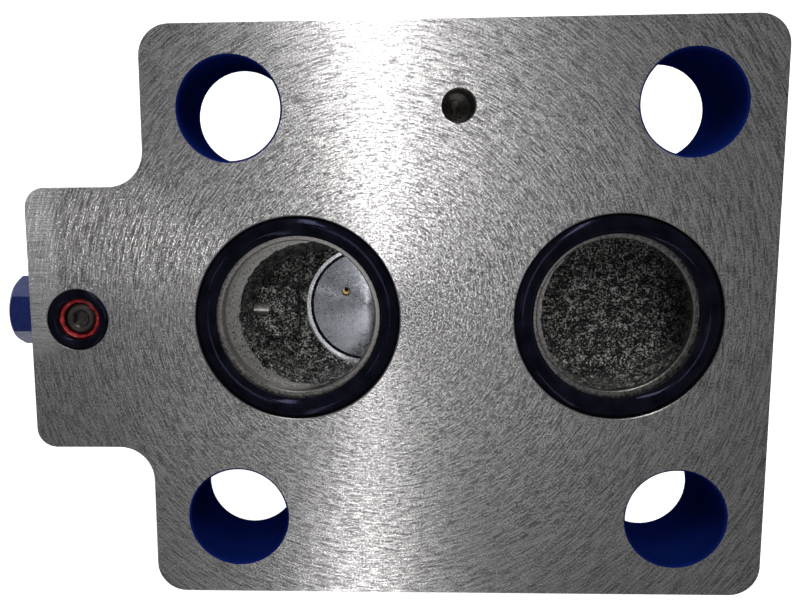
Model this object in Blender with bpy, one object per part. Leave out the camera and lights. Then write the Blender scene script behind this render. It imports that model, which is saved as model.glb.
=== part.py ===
"""Pilot-operated relief valve with a seat cartridge, for mounting on a size 32 subplate.

The port face looks up and lies at z = 0, with the origin at the middle of the bolt pattern.
+X points from port A to port B. The body, its cartridge and the pilot head reach down from
the face, and the valve stands on the flat end of the pilot head. All sizes are millimetres,
and "depth" is the distance below the port face.
"""
import math

import bmesh
import bpy
from mathutils import Matrix, Vector

MM = 0.001
GAP = 0.3                      # clearance between pieces that touch
BREAKOUT = 1.0                 # how far a cutter passes an open face
SEAL_AIR = 0.15                # room between a seal and the walls of its groove

UP = Vector((0.0, 0.0, 1.0))
DOWN = Vector((0.0, 0.0, -1.0))
RIGHT = Vector((1.0, 0.0, 0.0))
LEFT = Vector((-1.0, 0.0, 0.0))
BACK = Vector((0.0, 1.0, 0.0))
FRONT = Vector((0.0, -1.0, 0.0))

FINE = 36                      # sides of a large visible circle
MEDIUM = 24                    # sides of a hole or a turned part
COARSE = 14                    # sides of a small drilling

# Port face: the standard size 32 pattern.
BOLT_SPACING_X = 88.9
BOLT_SPACING_Y = 82.6
BOLT_HOLE_R = 10.0
SPOT_FACE_R = 15.5
SPOT_FACE_DEPTH = 1.3
PORT_SPACING = 63.5
PILOT_PORT_X = -76.2
PORT_SEAT_R = 20.5
PORT_SEAT_DEPTH = 2.9
PORT_BORE_R = 15.5
PORT_A_BORE_DEPTH = 6.7
PORT_B_BORE_DEPTH = 5.3
PORT_SEAL_HALF_WIDTH = 1.7
PORT_SEAL_HALF_HEIGHT = 1.25
LOCATING_HOLE_R = 3.2
LOCATING_HOLE_DEPTH = 8.0

# Body casting.
BLOCK_LENGTH = 123.5
BLOCK_WIDTH = 115.0
FLANGE_THICKNESS = 24.0
TONGUE_LENGTH = 24.0
TONGUE_WIDTH = 53.0
CORNER_R = 6.0
TONGUE_CORNER_R = 4.0
TONGUE_ROOT_R = 7.0
TOWER_INSET = 1.0
TOWER_END_INSET = 3.75
BODY_HEIGHT = 78.0

# Cast chambers.
CHAMBER_A_R = 15.0
CHAMBER_A_SHIFT = 2.3
CHAMBER_A_END_R = 14.2
CHAMBER_A_DEPTH = 19.0
RIB_LENGTH = 12.0
RIB_WIDTH = 11.4
RIB_SHIFT = -0.6
RIB_HEIGHT = 4.0
CHAMBER_B_R = 16.5
CHAMBER_B_SHIFT = 2.3
CHAMBER_B_DEPTH = 21.0
CROSSOVER_WIDTH = 24.0
CROSSOVER_HEIGHT = 23.0
CROSSOVER_REACH = 19.0

# Cartridge, on its own axis.
CARTRIDGE_X = -18.0
SEAT_LIP_R = 13.2
SEAT_LIP_THICKNESS = 1.3
SLEEVE_NOSE_R = 17.0
SLEEVE_NOSE_LENGTH = 3.7
SLEEVE_R = 19.0
SLEEVE_BORE_R = 13.05
SLEEVE_SEAT_R = 12.4
SLEEVE_SEAT_LAND = 0.6
SLEEVE_UNDERCUT_R = 14.5
SLEEVE_UNDERCUT_LENGTH = 9.2
ANNULUS_R = 22.3
ANNULUS_HEIGHT = 10.5
ANNULUS_LAND = 1.5
FLOW_HOLE_R = 3.4
FLOW_HOLES = 6
FLOW_HOLE_LAND = 0.6
SEAL_GROOVE = 1.8
NOSE_GROOVE_DEPTH = 1.4
UPPER_GROOVE_WIDTH = 3.2
UPPER_GROOVE_DEPTH = 1.8
UPPER_GROOVE_FROM_SEAT = 23.4
BACKUP_RING_THICKNESS = 0.9
POPPET_NOSE_R = 12.0
POPPET_LENGTH = 31.0
POPPET_CUP_R = 9.5
POPPET_FLOOR = 6.2
JET_OFFSET = (-4.5, 3.0)
JET_R = 2.7
JET_BORE_R = 0.5
JET_LENGTH = 3.2
NOSE_ORIFICE_R = 0.75
MAIN_SPRING_R = 7.5
MAIN_SPRING_WIRE_R = 0.9
MAIN_SPRING_TURNS = 7

# Pilot drillings.
PILOT_LINE_DEPTH = 15.0
PILOT_LINE_R = 2.5
PILOT_INLET_R = 1.5
PILOT_RISER_X = -52.0
RISER_R = 2.0
DRAIN_X = 14.0
PILOT_SEAT_POCKET_R = 6.25
PILOT_SEAT_POCKET_DEPTH = 1.35
PILOT_PLUG_R = 3.5
PILOT_SEAL_HALF_WIDTH = 0.8
PILOT_SEAL_HALF_HEIGHT = 0.5
PILOT_PLUG_LENGTH = 6.0
PILOT_PLUG_SOCKET_ACROSS = 4.0
PILOT_PLUG_SOCKET_DEPTH = 3.0
SEALANT_R = 4.1
SEALANT_WIDTH = 0.3
SEALANT_LENGTH = 2.6

# Side plug on the end of the tongue.
SIDE_PLUG_R = 4.7
SIDE_PLUG_THREAD = 7.0
SIDE_PLUG_ACROSS = 13.0
SIDE_PLUG_HEAD = 6.6
SIDE_PLUG_SOCKET_ACROSS = 5.0
SIDE_PLUG_SOCKET_DEPTH = 4.0
SIDE_WASHER_R = 7.4
SIDE_WASHER_THICKNESS = 1.0

# Pilot head.
HEAD_LEFT = -66.0
HEAD_RIGHT = 42.0
HEAD_WIDTH = 49.0
HEAD_HEIGHT = 49.7
HEAD_CORNER_R = 3.0
PILOT_AXIS_DROP = 25.0
SCREW_SPACING_X = 58.0
SCREW_SPACING_Y = 33.0
SCREW_R = 4.0
SCREW_HEAD_R = 6.5
SCREW_HEAD_HEIGHT = 8.0
SCREW_LENGTH = 56.0
SCREW_SOCKET_ACROSS = 6.0
SCREW_SOCKET_DEPTH = 4.0
COUNTERBORE_R = 7.0
COUNTERBORE_DEPTH = 10.0
DOWEL_PLACE = (34.0, 14.0)
DOWEL_R = 2.5
DOWEL_DEPTH = 6.0
MAIN_JOINT_SEAL_R = 21.9
SMALL_JOINT_SEAL_R = 3.9
JOINT_SEAL_WIDTH = 1.8
JOINT_GROOVE_DEPTH = 1.6

# Pilot stage, along +X from the seat.
SEAT_FACE_X = -12.0
PILOT_SEAT_R = 5.7
PILOT_SEAT_LENGTH = 9.7
PILOT_SEAT_BORE_R = 1.2
SEAT_POCKET_END_X = -10.0
SPRING_CHAMBER_R = 8.5
SPRING_CHAMBER_END_X = 20.0
CONE_R = 3.2
CONE_COLLAR_THICKNESS = 3.0
SPRING_PILOT_R = 2.4
PILOT_SPRING_R = 4.2
PILOT_SPRING_WIRE_R = 0.8
PILOT_SPRING_TURNS = 6
COIL_CLOSING = 0.35            # how far the end turns of a spring lie down
PLATE_X = 12.0
PLATE_THICKNESS = 6.0
PLATE_GROOVE_R = 6.8
PLATE_GROOVE_WIDTH = 2.0
BUSH_R = 9.7
BUSH_ACROSS = 24.0
BUSH_COLLAR = 7.0
BUSH_STUB_R = 9.0
BUSH_STUB = 6.0
BUSH_WASHER_THICKNESS = 1.5
BUSH_WASHER_R = 13.0
SPINDLE_R = 4.0
SPINDLE_END_X = 76.0
SPINDLE_SOCKET_ACROSS = 4.0
SPINDLE_SOCKET_DEPTH = 4.0
NUT_ACROSS = 13.0
NUT_HEIGHT = 6.5
CAP_R = 12.0
CAP_END_X = 82.0
CAP_WALL = 3.0
SUPPLY_JET_X = -45.0
END_PLUG_R = 4.7
END_PLUG_LENGTH = 9.4
END_PLUG_SOCKET_ACROSS = 5.0
END_PLUG_SOCKET_DEPTH = 4.0
GAUGE_X = -30.0
GAUGE_PLUG_R = 4.7
GAUGE_PLUG_LENGTH = 12.0
GAUGE_COLLAR_R = 8.0
GAUGE_COLLAR = 3.5
GAUGE_WASHER_THICKNESS = 1.0
GAUGE_SOCKET_ACROSS = 6.0
GAUGE_SOCKET_DEPTH = 5.0

# Name plate.
PLATE_LENGTH = 50.0
PLATE_HEIGHT = 26.0
PLATE_SHEET = 0.5
RIVET_R = 1.1
RIVET_HEAD_R = 2.2
RIVET_HEAD = 0.8
RIVET_LENGTH = 4.5
RIVET_INSET = 2.5

# Places that follow from the sizes above.
PORT_A = (-PORT_SPACING / 2, 0.0)
PORT_B = (PORT_SPACING / 2, 0.0)
BLOCK_LEFT = -BLOCK_LENGTH / 2
TONGUE_END = BLOCK_LEFT - TONGUE_LENGTH
SLEEVE_TOP = CHAMBER_A_DEPTH + SEAT_LIP_THICKNESS + GAP
SLEEVE_SHOULDER = SLEEVE_TOP + SLEEVE_NOSE_LENGTH
SLEEVE_END = BODY_HEIGHT
POPPET_TOP = SLEEVE_TOP + 0.2
POPPET_R = SLEEVE_BORE_R - GAP
POPPET_FLOOR_DEPTH = POPPET_TOP + POPPET_FLOOR
ANNULUS_TOP = SLEEVE_SHOULDER - GAP + ANNULUS_LAND
CROSSOVER_FLOOR = ANNULUS_TOP + ANNULUS_HEIGHT
UPPER_GROOVE_TOP = SLEEVE_TOP + UPPER_GROOVE_FROM_SEAT
HEAD_TOP = BODY_HEIGHT + GAP
HEAD_BOTTOM = HEAD_TOP + HEAD_HEIGHT
PILOT_AXIS = BODY_HEIGHT + PILOT_AXIS_DROP
SCREW_PLACES = [
    (CARTRIDGE_X + sx * SCREW_SPACING_X / 2, sy * SCREW_SPACING_Y / 2)
    for sx in (-1, 1)
    for sy in (-1, 1)
]
SCREW_SEAT = HEAD_BOTTOM - COUNTERBORE_DEPTH
BOLT_PLACES = [
    (sx * BOLT_SPACING_X / 2, sy * BOLT_SPACING_Y / 2)
    for sx in (-1, 1)
    for sy in (-1, 1)
]
BUSH_COLLAR_X = HEAD_RIGHT + BUSH_WASHER_THICKNESS + 2 * GAP
BUSH_STUB_X = BUSH_COLLAR_X + BUSH_COLLAR
NUT_X = BUSH_STUB_X + BUSH_STUB + GAP

# Colour, roughness and metallic value of each finish.
FINISHES = {
    "blue_paint": ((0.010, 0.028, 0.110), 0.38, 0.0),
    "ground_iron": ((0.42, 0.42, 0.43), 0.35, 1.0),
    "hardened_steel": ((0.60, 0.60, 0.61), 0.22, 1.0),
    "spring_steel": ((0.25, 0.26, 0.28), 0.35, 1.0),
    "zinc_plate": ((0.62, 0.62, 0.60), 0.35, 1.0),
    "black_oxide": ((0.035, 0.035, 0.038), 0.45, 0.8),
    "black_rubber": ((0.010, 0.010, 0.012), 0.35, 0.0),
    "backup_plastic": ((0.75, 0.73, 0.66), 0.50, 0.0),
    "copper": ((0.72, 0.38, 0.25), 0.35, 1.0),
    "brass": ((0.72, 0.55, 0.26), 0.30, 1.0),
    "thread_sealant": ((0.35, 0.02, 0.02), 0.40, 0.0),
    "aluminium": ((0.70, 0.71, 0.72), 0.40, 1.0),
}


def clear_scene():
    for old in list(bpy.data.objects):
        bpy.data.objects.remove(old, do_unlink=True)


def finish(name):
    """The Principled material of one finish, made the first time it is asked for."""
    known = bpy.data.materials.get(name)
    if known:
        return known
    colour, roughness, metallic = FINISHES[name]
    material = bpy.data.materials.new(name)
    material.use_nodes = True
    shader = material.node_tree.nodes["Principled BSDF"]
    shader.inputs["Base Color"].default_value = (*colour, 1.0)
    shader.inputs["Roughness"].default_value = roughness
    shader.inputs["Metallic"].default_value = metallic
    return material


def at_depth(x, y, depth):
    """A point given by its place on the port face and its depth below it."""
    return Vector((x, y, -depth))


def placed(name, bm, origin, axis, finish_name=None):
    """Make an object from local millimetre geometry, with local +Z turned to the axis."""
    bmesh.ops.scale(bm, vec=(MM, MM, MM), verts=bm.verts)
    bmesh.ops.recalc_face_normals(bm, faces=bm.faces)
    mesh = bpy.data.meshes.new(name)
    bm.to_mesh(mesh)
    bm.free()
    mesh.shade_smooth()
    mesh.set_sharp_from_angle(angle=math.radians(30.0))
    made = bpy.data.objects.new(name, mesh)
    bpy.context.scene.collection.objects.link(made)
    turn = UP.rotation_difference(axis).to_matrix().to_4x4()
    made.matrix_world = Matrix.Translation(origin * MM) @ turn
    if finish_name:
        mesh.materials.append(finish(finish_name))
    return made


def turned(name, outline, origin, axis, finish_name=None, sides=MEDIUM):
    """Spin a closed outline of (station, radius) points about the axis."""
    bm = bmesh.new()
    points = [bm.verts.new((radius, 0.0, station)) for station, radius in outline]
    edges = [bm.edges.new((points[i - 1], points[i])) for i in range(1, len(points))]
    on_axis = outline[0][1] == 0.0 and outline[-1][1] == 0.0
    if not on_axis:
        edges.append(bm.edges.new((points[-1], points[0])))
    bmesh.ops.spin(
        bm,
        geom=points + edges,
        cent=(0.0, 0.0, 0.0),
        axis=(0.0, 0.0, 1.0),
        angle=math.tau,
        steps=sides,
        use_merge=True,
    )
    bmesh.ops.remove_doubles(bm, verts=bm.verts, dist=0.001)
    return placed(name, bm, origin, axis, finish_name)


def ring_seal(name, radius, half_width, half_height, origin, sides=MEDIUM):
    """A rubber seal ring whose section is a slightly flattened circle."""
    around = 6
    outline = []
    for i in range(around):
        turn = math.tau * i / around
        outline.append((half_height * math.sin(turn), radius + half_width * math.cos(turn)))
    return turned(name, outline, origin, UP, "black_rubber", sides)


def prism(name, outline, start, length, axis, finish_name=None):
    """Extrude a flat outline of (x, y) points along the axis."""
    bm = bmesh.new()
    face = bm.faces.new([bm.verts.new((x, y, 0.0)) for x, y in outline])
    pushed = bmesh.ops.extrude_face_region(bm, geom=[face])
    moved = [item for item in pushed["geom"] if isinstance(item, bmesh.types.BMVert)]
    bmesh.ops.translate(bm, vec=(0.0, 0.0, length), verts=moved)
    return placed(name, bm, start, axis, finish_name)


def box(name, low, high, finish_name=None):
    """A block between two corners."""
    outline = [(low[0], low[1]), (high[0], low[1]), (high[0], high[1]), (low[0], high[1])]
    return prism(name, outline, Vector((0.0, 0.0, low[2])), high[2] - low[2], UP, finish_name)


def rounded(corners, steps=5):
    """A polygon whose corners (x, y, radius) are replaced by arcs."""
    outline = []
    count = len(corners)
    for i in range(count):
        here = Vector(corners[i][:2])
        radius = corners[i][2]
        before = (Vector(corners[i - 1][:2]) - here).normalized()
        after = (Vector(corners[(i + 1) % count][:2]) - here).normalized()
        half = before.angle(after) / 2
        reach = radius / math.tan(half)
        centre = here + (before + after).normalized() * (radius / math.sin(half))
        first = here + before * reach - centre
        last = here + after * reach - centre
        swing = first.angle_signed(last)
        for step in range(steps + 1):
            turn = Matrix.Rotation(-swing * step / steps, 2)
            outline.append(tuple(centre + turn @ first))
    return outline


def two_circles(x1, r1, x2, r2, steps=20):
    """The outline round two circles on the X axis, x1 to the left of x2."""
    lean = math.acos((r1 - r2) / (x2 - x1))
    outline = []
    for i in range(steps + 1):
        turn = -lean + 2 * lean * i / steps
        outline.append((x2 + r2 * math.cos(turn), r2 * math.sin(turn)))
    for i in range(steps + 1):
        turn = lean + (math.tau - 2 * lean) * i / steps
        outline.append((x1 + r1 * math.cos(turn), r1 * math.sin(turn)))
    return outline


def hexagon(across_flats):
    corner = across_flats / math.sqrt(3.0)
    return [
        (corner * math.cos(math.tau * i / 6), corner * math.sin(math.tau * i / 6))
        for i in range(6)
    ]


def boolean(target, tool, operation):
    """Combine a tool with the target and keep the tool as a hidden guide."""
    step = target.modifiers.new(tool.name, "BOOLEAN")
    step.operation = operation
    step.solver = "EXACT"
    step.object = tool
    tool.hide_render = True
    tool.display_type = "WIRE"


def cut(target, tool):
    boolean(target, tool, "DIFFERENCE")


def join(target, tool):
    boolean(target, tool, "UNION")


def drill(target, label, radius, start, end, sides=COARSE):
    """Cut a round hole from one point to another."""
    along = end - start
    outline = [(0.0, 0.0), (0.0, radius), (along.length, radius), (along.length, 0.0)]
    tool = turned(label, outline, start, along.normalized(), sides=sides)
    cut(target, tool)


def socket(target, label, across, origin, axis, depth):
    """Cut a hexagon socket that opens at the origin and runs in along the axis."""
    tool = prism(label, hexagon(across), origin - axis * BREAKOUT, depth + BREAKOUT, axis)
    cut(target, tool)


def coil(name, radius, wire, turns, start, length, axis, finish_name):
    """A compression spring with closed ends, wound between two flat seats."""
    per_turn = 12
    around = 5
    count = turns * per_turn
    bm = bmesh.new()
    rings = []
    for i in range(count + 1):
        share = i / count
        turn = math.tau * turns * share
        closed = share - math.sin(math.tau * share) / math.tau * COIL_CLOSING
        rise = wire + (length - 2 * wire) * closed
        ring = []
        for k in range(around):
            lean = math.tau * k / around
            out = radius + wire * math.cos(lean)
            high = rise + wire * math.sin(lean)
            ring.append(bm.verts.new((out * math.cos(turn), out * math.sin(turn), high)))
        rings.append(ring)
    for one, two in zip(rings, rings[1:]):
        for k in range(around):
            nxt = (k + 1) % around
            bm.faces.new((one[k], one[nxt], two[nxt], two[k]))
    bm.faces.new(rings[0])
    bm.faces.new(rings[-1])
    return placed(name, bm, start, axis, finish_name)


def make_body():
    """The casting, with its machined port face, chambers, cartridge bore and drillings."""
    side = BLOCK_WIDTH / 2
    right = BLOCK_LENGTH / 2
    tongue = TONGUE_WIDTH / 2
    flange = rounded([
        (right, -side, CORNER_R),
        (right, side, CORNER_R),
        (BLOCK_LEFT, side, CORNER_R),
        (BLOCK_LEFT, tongue, TONGUE_ROOT_R),
        (TONGUE_END, tongue, TONGUE_CORNER_R),
        (TONGUE_END, -tongue, TONGUE_CORNER_R),
        (BLOCK_LEFT, -tongue, TONGUE_ROOT_R),
        (BLOCK_LEFT, -side, CORNER_R),
    ])
    start = at_depth(0.0, 0.0, FLANGE_THICKNESS)
    body = prism("valve_body", flange, start, FLANGE_THICKNESS, UP, "blue_paint")

    wall = tongue - TOWER_INSET
    near = TONGUE_END + TOWER_INSET
    far = right - TOWER_END_INSET
    tower = rounded([
        (far, -wall, CORNER_R),
        (far, wall, CORNER_R),
        (near, wall, TONGUE_CORNER_R),
        (near, -wall, TONGUE_CORNER_R),
    ])
    start = at_depth(0.0, 0.0, BODY_HEIGHT)
    join(body, prism("tower", tower, start, BODY_HEIGHT - FLANGE_THICKNESS / 2, UP))

    cut_ports(body)
    cut_cartridge_bore(body)
    cut_fixings(body)
    cut_pilot_drillings(body)
    return body


def cut_ports(body):
    """Seal counterbores, short bores and the cast chambers behind them."""
    face = -BREAKOUT
    for label, place, bore_depth in (
        ("port_a", PORT_A, PORT_A_BORE_DEPTH),
        ("port_b", PORT_B, PORT_B_BORE_DEPTH),
    ):
        outline = [
            (face, 0.0),
            (face, PORT_SEAT_R),
            (PORT_SEAT_DEPTH, PORT_SEAT_R),
            (PORT_SEAT_DEPTH, PORT_BORE_R),
            (bore_depth + BREAKOUT, PORT_BORE_R),
            (bore_depth + BREAKOUT, 0.0),
        ]
        cut(body, turned(label, outline, at_depth(*place, 0.0), DOWN, sides=FINE))

    outline = two_circles(PORT_A[0] + CHAMBER_A_SHIFT, CHAMBER_A_R, CARTRIDGE_X, CHAMBER_A_END_R)
    start = at_depth(0.0, 0.0, CHAMBER_A_DEPTH)
    height = CHAMBER_A_DEPTH - PORT_A_BORE_DEPTH
    cut(body, prism("chamber_a", outline, start, height, UP))
    left_wall = PORT_A[0] + CHAMBER_A_SHIFT - CHAMBER_A_R
    low = (left_wall - BREAKOUT, RIB_SHIFT - RIB_WIDTH / 2, -CHAMBER_A_DEPTH - SEAT_LIP_THICKNESS / 2)
    high = (left_wall + RIB_LENGTH, RIB_SHIFT + RIB_WIDTH / 2, RIB_HEIGHT - CHAMBER_A_DEPTH)
    join(body, box("chamber_a_rib", low, high))

    outline = [
        (PORT_B_BORE_DEPTH, 0.0),
        (PORT_B_BORE_DEPTH, CHAMBER_B_R),
        (CHAMBER_B_DEPTH, CHAMBER_B_R),
        (CHAMBER_B_DEPTH, 0.0),
    ]
    origin = at_depth(PORT_B[0] + CHAMBER_B_SHIFT, 0.0, 0.0)
    cut(body, turned("chamber_b", outline, origin, DOWN, sides=MEDIUM))
    near = CARTRIDGE_X + SLEEVE_R
    floor = GAP - CROSSOVER_FLOOR
    low = (near, -CROSSOVER_WIDTH / 2, floor)
    high = (near + CROSSOVER_REACH, CROSSOVER_WIDTH / 2, floor + CROSSOVER_HEIGHT)
    cut(body, box("crossover", low, high))


def cut_cartridge_bore(body):
    """The stepped bore for the sleeve, with the annulus round its flow holes."""
    nose_r = SLEEVE_NOSE_R + GAP
    bore_r = SLEEVE_R + GAP
    annulus_end = ANNULUS_TOP + ANNULUS_HEIGHT
    outline = [
        (CHAMBER_A_DEPTH - BREAKOUT, 0.0),
        (CHAMBER_A_DEPTH - BREAKOUT, SEAT_LIP_R),
        (SLEEVE_TOP - GAP, SEAT_LIP_R),
        (SLEEVE_TOP - GAP, nose_r),
        (SLEEVE_SHOULDER - GAP, nose_r),
        (SLEEVE_SHOULDER - GAP, bore_r),
        (ANNULUS_TOP, bore_r),
        (ANNULUS_TOP, ANNULUS_R),
        (annulus_end, ANNULUS_R),
        (annulus_end, bore_r),
        (BODY_HEIGHT + BREAKOUT, bore_r),
        (BODY_HEIGHT + BREAKOUT, 0.0),
    ]
    origin = at_depth(CARTRIDGE_X, 0.0, 0.0)
    cut(body, turned("cartridge_bore", outline, origin, DOWN, sides=FINE))


def cut_fixings(body):
    """Fixing holes with spot faces, the locating hole, and the head's screw and dowel holes."""
    spot = FLANGE_THICKNESS - SPOT_FACE_DEPTH
    for i, place in enumerate(BOLT_PLACES, 1):
        top = at_depth(*place, -BREAKOUT)
        under = at_depth(*place, FLANGE_THICKNESS + BREAKOUT)
        drill(body, f"bolt_hole_{i}", BOLT_HOLE_R, top, under, FINE)
        clear = at_depth(*place, BODY_HEIGHT + BREAKOUT)
        drill(body, f"spot_face_{i}", SPOT_FACE_R, at_depth(*place, spot), clear, MEDIUM)

    point = LOCATING_HOLE_R / math.tan(math.radians(59.0))
    outline = [
        (-BREAKOUT, 0.0),
        (-BREAKOUT, LOCATING_HOLE_R),
        (LOCATING_HOLE_DEPTH, LOCATING_HOLE_R),
        (LOCATING_HOLE_DEPTH + point, 0.0),
    ]
    origin = at_depth(0.0, BOLT_SPACING_Y / 2, 0.0)
    cut(body, turned("locating_hole", outline, origin, DOWN, sides=COARSE))

    below = BODY_HEIGHT + BREAKOUT
    screw_end = SCREW_SEAT + GAP - SCREW_LENGTH - 2.0
    for i, place in enumerate(SCREW_PLACES, 1):
        start = at_depth(*place, screw_end)
        drill(body, f"screw_hole_{i}", SCREW_R + GAP, start, at_depth(*place, below))
    start = at_depth(*DOWEL_PLACE, BODY_HEIGHT - DOWEL_DEPTH)
    drill(body, "dowel_hole", DOWEL_R + GAP, start, at_depth(*DOWEL_PLACE, below))


def cut_pilot_drillings(body):
    """Pilot port, the line along the tongue, the riser to the head and the drain."""
    plug_bottom = PILOT_SEAT_POCKET_DEPTH + PILOT_PLUG_LENGTH + 2 * GAP
    outline = [
        (-BREAKOUT, 0.0),
        (-BREAKOUT, PILOT_SEAT_POCKET_R),
        (PILOT_SEAT_POCKET_DEPTH, PILOT_SEAT_POCKET_R),
        (PILOT_SEAT_POCKET_DEPTH, SEALANT_R + GAP),
        (plug_bottom, SEALANT_R + GAP),
        (plug_bottom, RISER_R),
        (PILOT_LINE_DEPTH, RISER_R),
        (PILOT_LINE_DEPTH, 0.0),
    ]
    origin = at_depth(PILOT_PORT_X, 0.0, 0.0)
    cut(body, turned("pilot_port", outline, origin, DOWN, sides=MEDIUM))

    rib_end = PORT_A[0] + CHAMBER_A_SHIFT - CHAMBER_A_R + RIB_LENGTH / 3
    narrow = PILOT_RISER_X + RISER_R
    outline = [
        (TONGUE_END - BREAKOUT, 0.0),
        (TONGUE_END - BREAKOUT, SIDE_PLUG_R + GAP),
        (TONGUE_END + SIDE_PLUG_THREAD + GAP, SIDE_PLUG_R + GAP),
        (TONGUE_END + SIDE_PLUG_THREAD + GAP, PILOT_LINE_R),
        (narrow, PILOT_LINE_R),
        (narrow, PILOT_INLET_R),
        (rib_end, PILOT_INLET_R),
        (rib_end, 0.0),
    ]
    origin = at_depth(0.0, 0.0, PILOT_LINE_DEPTH)
    cut(body, turned("pilot_line", outline, origin, RIGHT, sides=COARSE))

    below = BODY_HEIGHT + BREAKOUT
    start = at_depth(PILOT_RISER_X, 0.0, PILOT_LINE_DEPTH)
    drill(body, "riser", RISER_R, start, at_depth(PILOT_RISER_X, 0.0, below))
    start = at_depth(DRAIN_X, 0.0, CROSSOVER_FLOOR - 2 * RISER_R)
    drill(body, "drain", RISER_R, start, at_depth(DRAIN_X, 0.0, below))


def make_port_seals():
    """The O-rings of the port face, drawn pressed level with it."""
    squeeze = PORT_SEAL_HALF_HEIGHT
    section = PORT_SEAL_HALF_WIDTH
    radius = PORT_SEAT_R - GAP - section
    depth = PORT_SEAT_DEPTH - GAP - squeeze
    ring_seal("port_a_seal", radius, section, squeeze, at_depth(*PORT_A, depth), sides=FINE)
    ring_seal("port_b_seal", radius, section, squeeze, at_depth(*PORT_B, depth), sides=FINE)
    squeeze = PILOT_SEAL_HALF_HEIGHT
    section = PILOT_SEAL_HALF_WIDTH
    radius = PILOT_SEAT_POCKET_R - GAP - section
    depth = PILOT_SEAT_POCKET_DEPTH - GAP - squeeze
    origin = at_depth(PILOT_PORT_X, 0.0, depth)
    ring_seal("pilot_port_seal", radius, section, squeeze, origin)


def make_pilot_port_plug():
    """The socket plug that closes the pilot port, set in red sealant."""
    top = PILOT_SEAT_POCKET_DEPTH + GAP
    origin = at_depth(PILOT_PORT_X, 0.0, top)
    chamfer = 0.5
    outline = [
        (0.0, 0.0),
        (0.0, PILOT_PLUG_R - chamfer),
        (chamfer, PILOT_PLUG_R),
        (PILOT_PLUG_LENGTH, PILOT_PLUG_R),
        (PILOT_PLUG_LENGTH, 0.0),
    ]
    plug = turned("pilot_port_plug", outline, origin, DOWN, "black_oxide")
    across = PILOT_PLUG_SOCKET_ACROSS
    socket(plug, "pilot_port_plug_socket", across, origin, DOWN, PILOT_PLUG_SOCKET_DEPTH)
    outer = SEALANT_R
    inner = SEALANT_R - SEALANT_WIDTH
    outline = [(0.0, inner), (0.0, outer), (SEALANT_LENGTH, outer), (SEALANT_LENGTH, inner)]
    turned("pilot_port_sealant", outline, origin, DOWN, "thread_sealant")


def make_side_plug():
    """The hexagon plug and washer in the end of the tongue."""
    washer_x = TONGUE_END - GAP
    origin = at_depth(washer_x, 0.0, PILOT_LINE_DEPTH)
    inner = SIDE_PLUG_R + GAP
    outline = [
        (0.0, inner),
        (0.0, SIDE_WASHER_R),
        (SIDE_WASHER_THICKNESS, SIDE_WASHER_R),
        (SIDE_WASHER_THICKNESS, inner),
    ]
    turned("side_plug_washer", outline, origin, LEFT, "copper")
    head_x = washer_x - SIDE_WASHER_THICKNESS - GAP
    origin = at_depth(head_x, 0.0, PILOT_LINE_DEPTH)
    plug = prism("side_plug", hexagon(SIDE_PLUG_ACROSS), origin, SIDE_PLUG_HEAD, LEFT, "blue_paint")
    inside = TONGUE_END + SIDE_PLUG_THREAD - head_x
    outline = [
        (-BREAKOUT, 0.0),
        (-BREAKOUT, SIDE_PLUG_R),
        (inside, SIDE_PLUG_R),
        (inside, 0.0),
    ]
    join(plug, turned("side_plug_shank", outline, origin, RIGHT, sides=COARSE))
    end = origin + LEFT * SIDE_PLUG_HEAD
    across = SIDE_PLUG_SOCKET_ACROSS
    socket(plug, "side_plug_socket", across, end, RIGHT, SIDE_PLUG_SOCKET_DEPTH)


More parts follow.
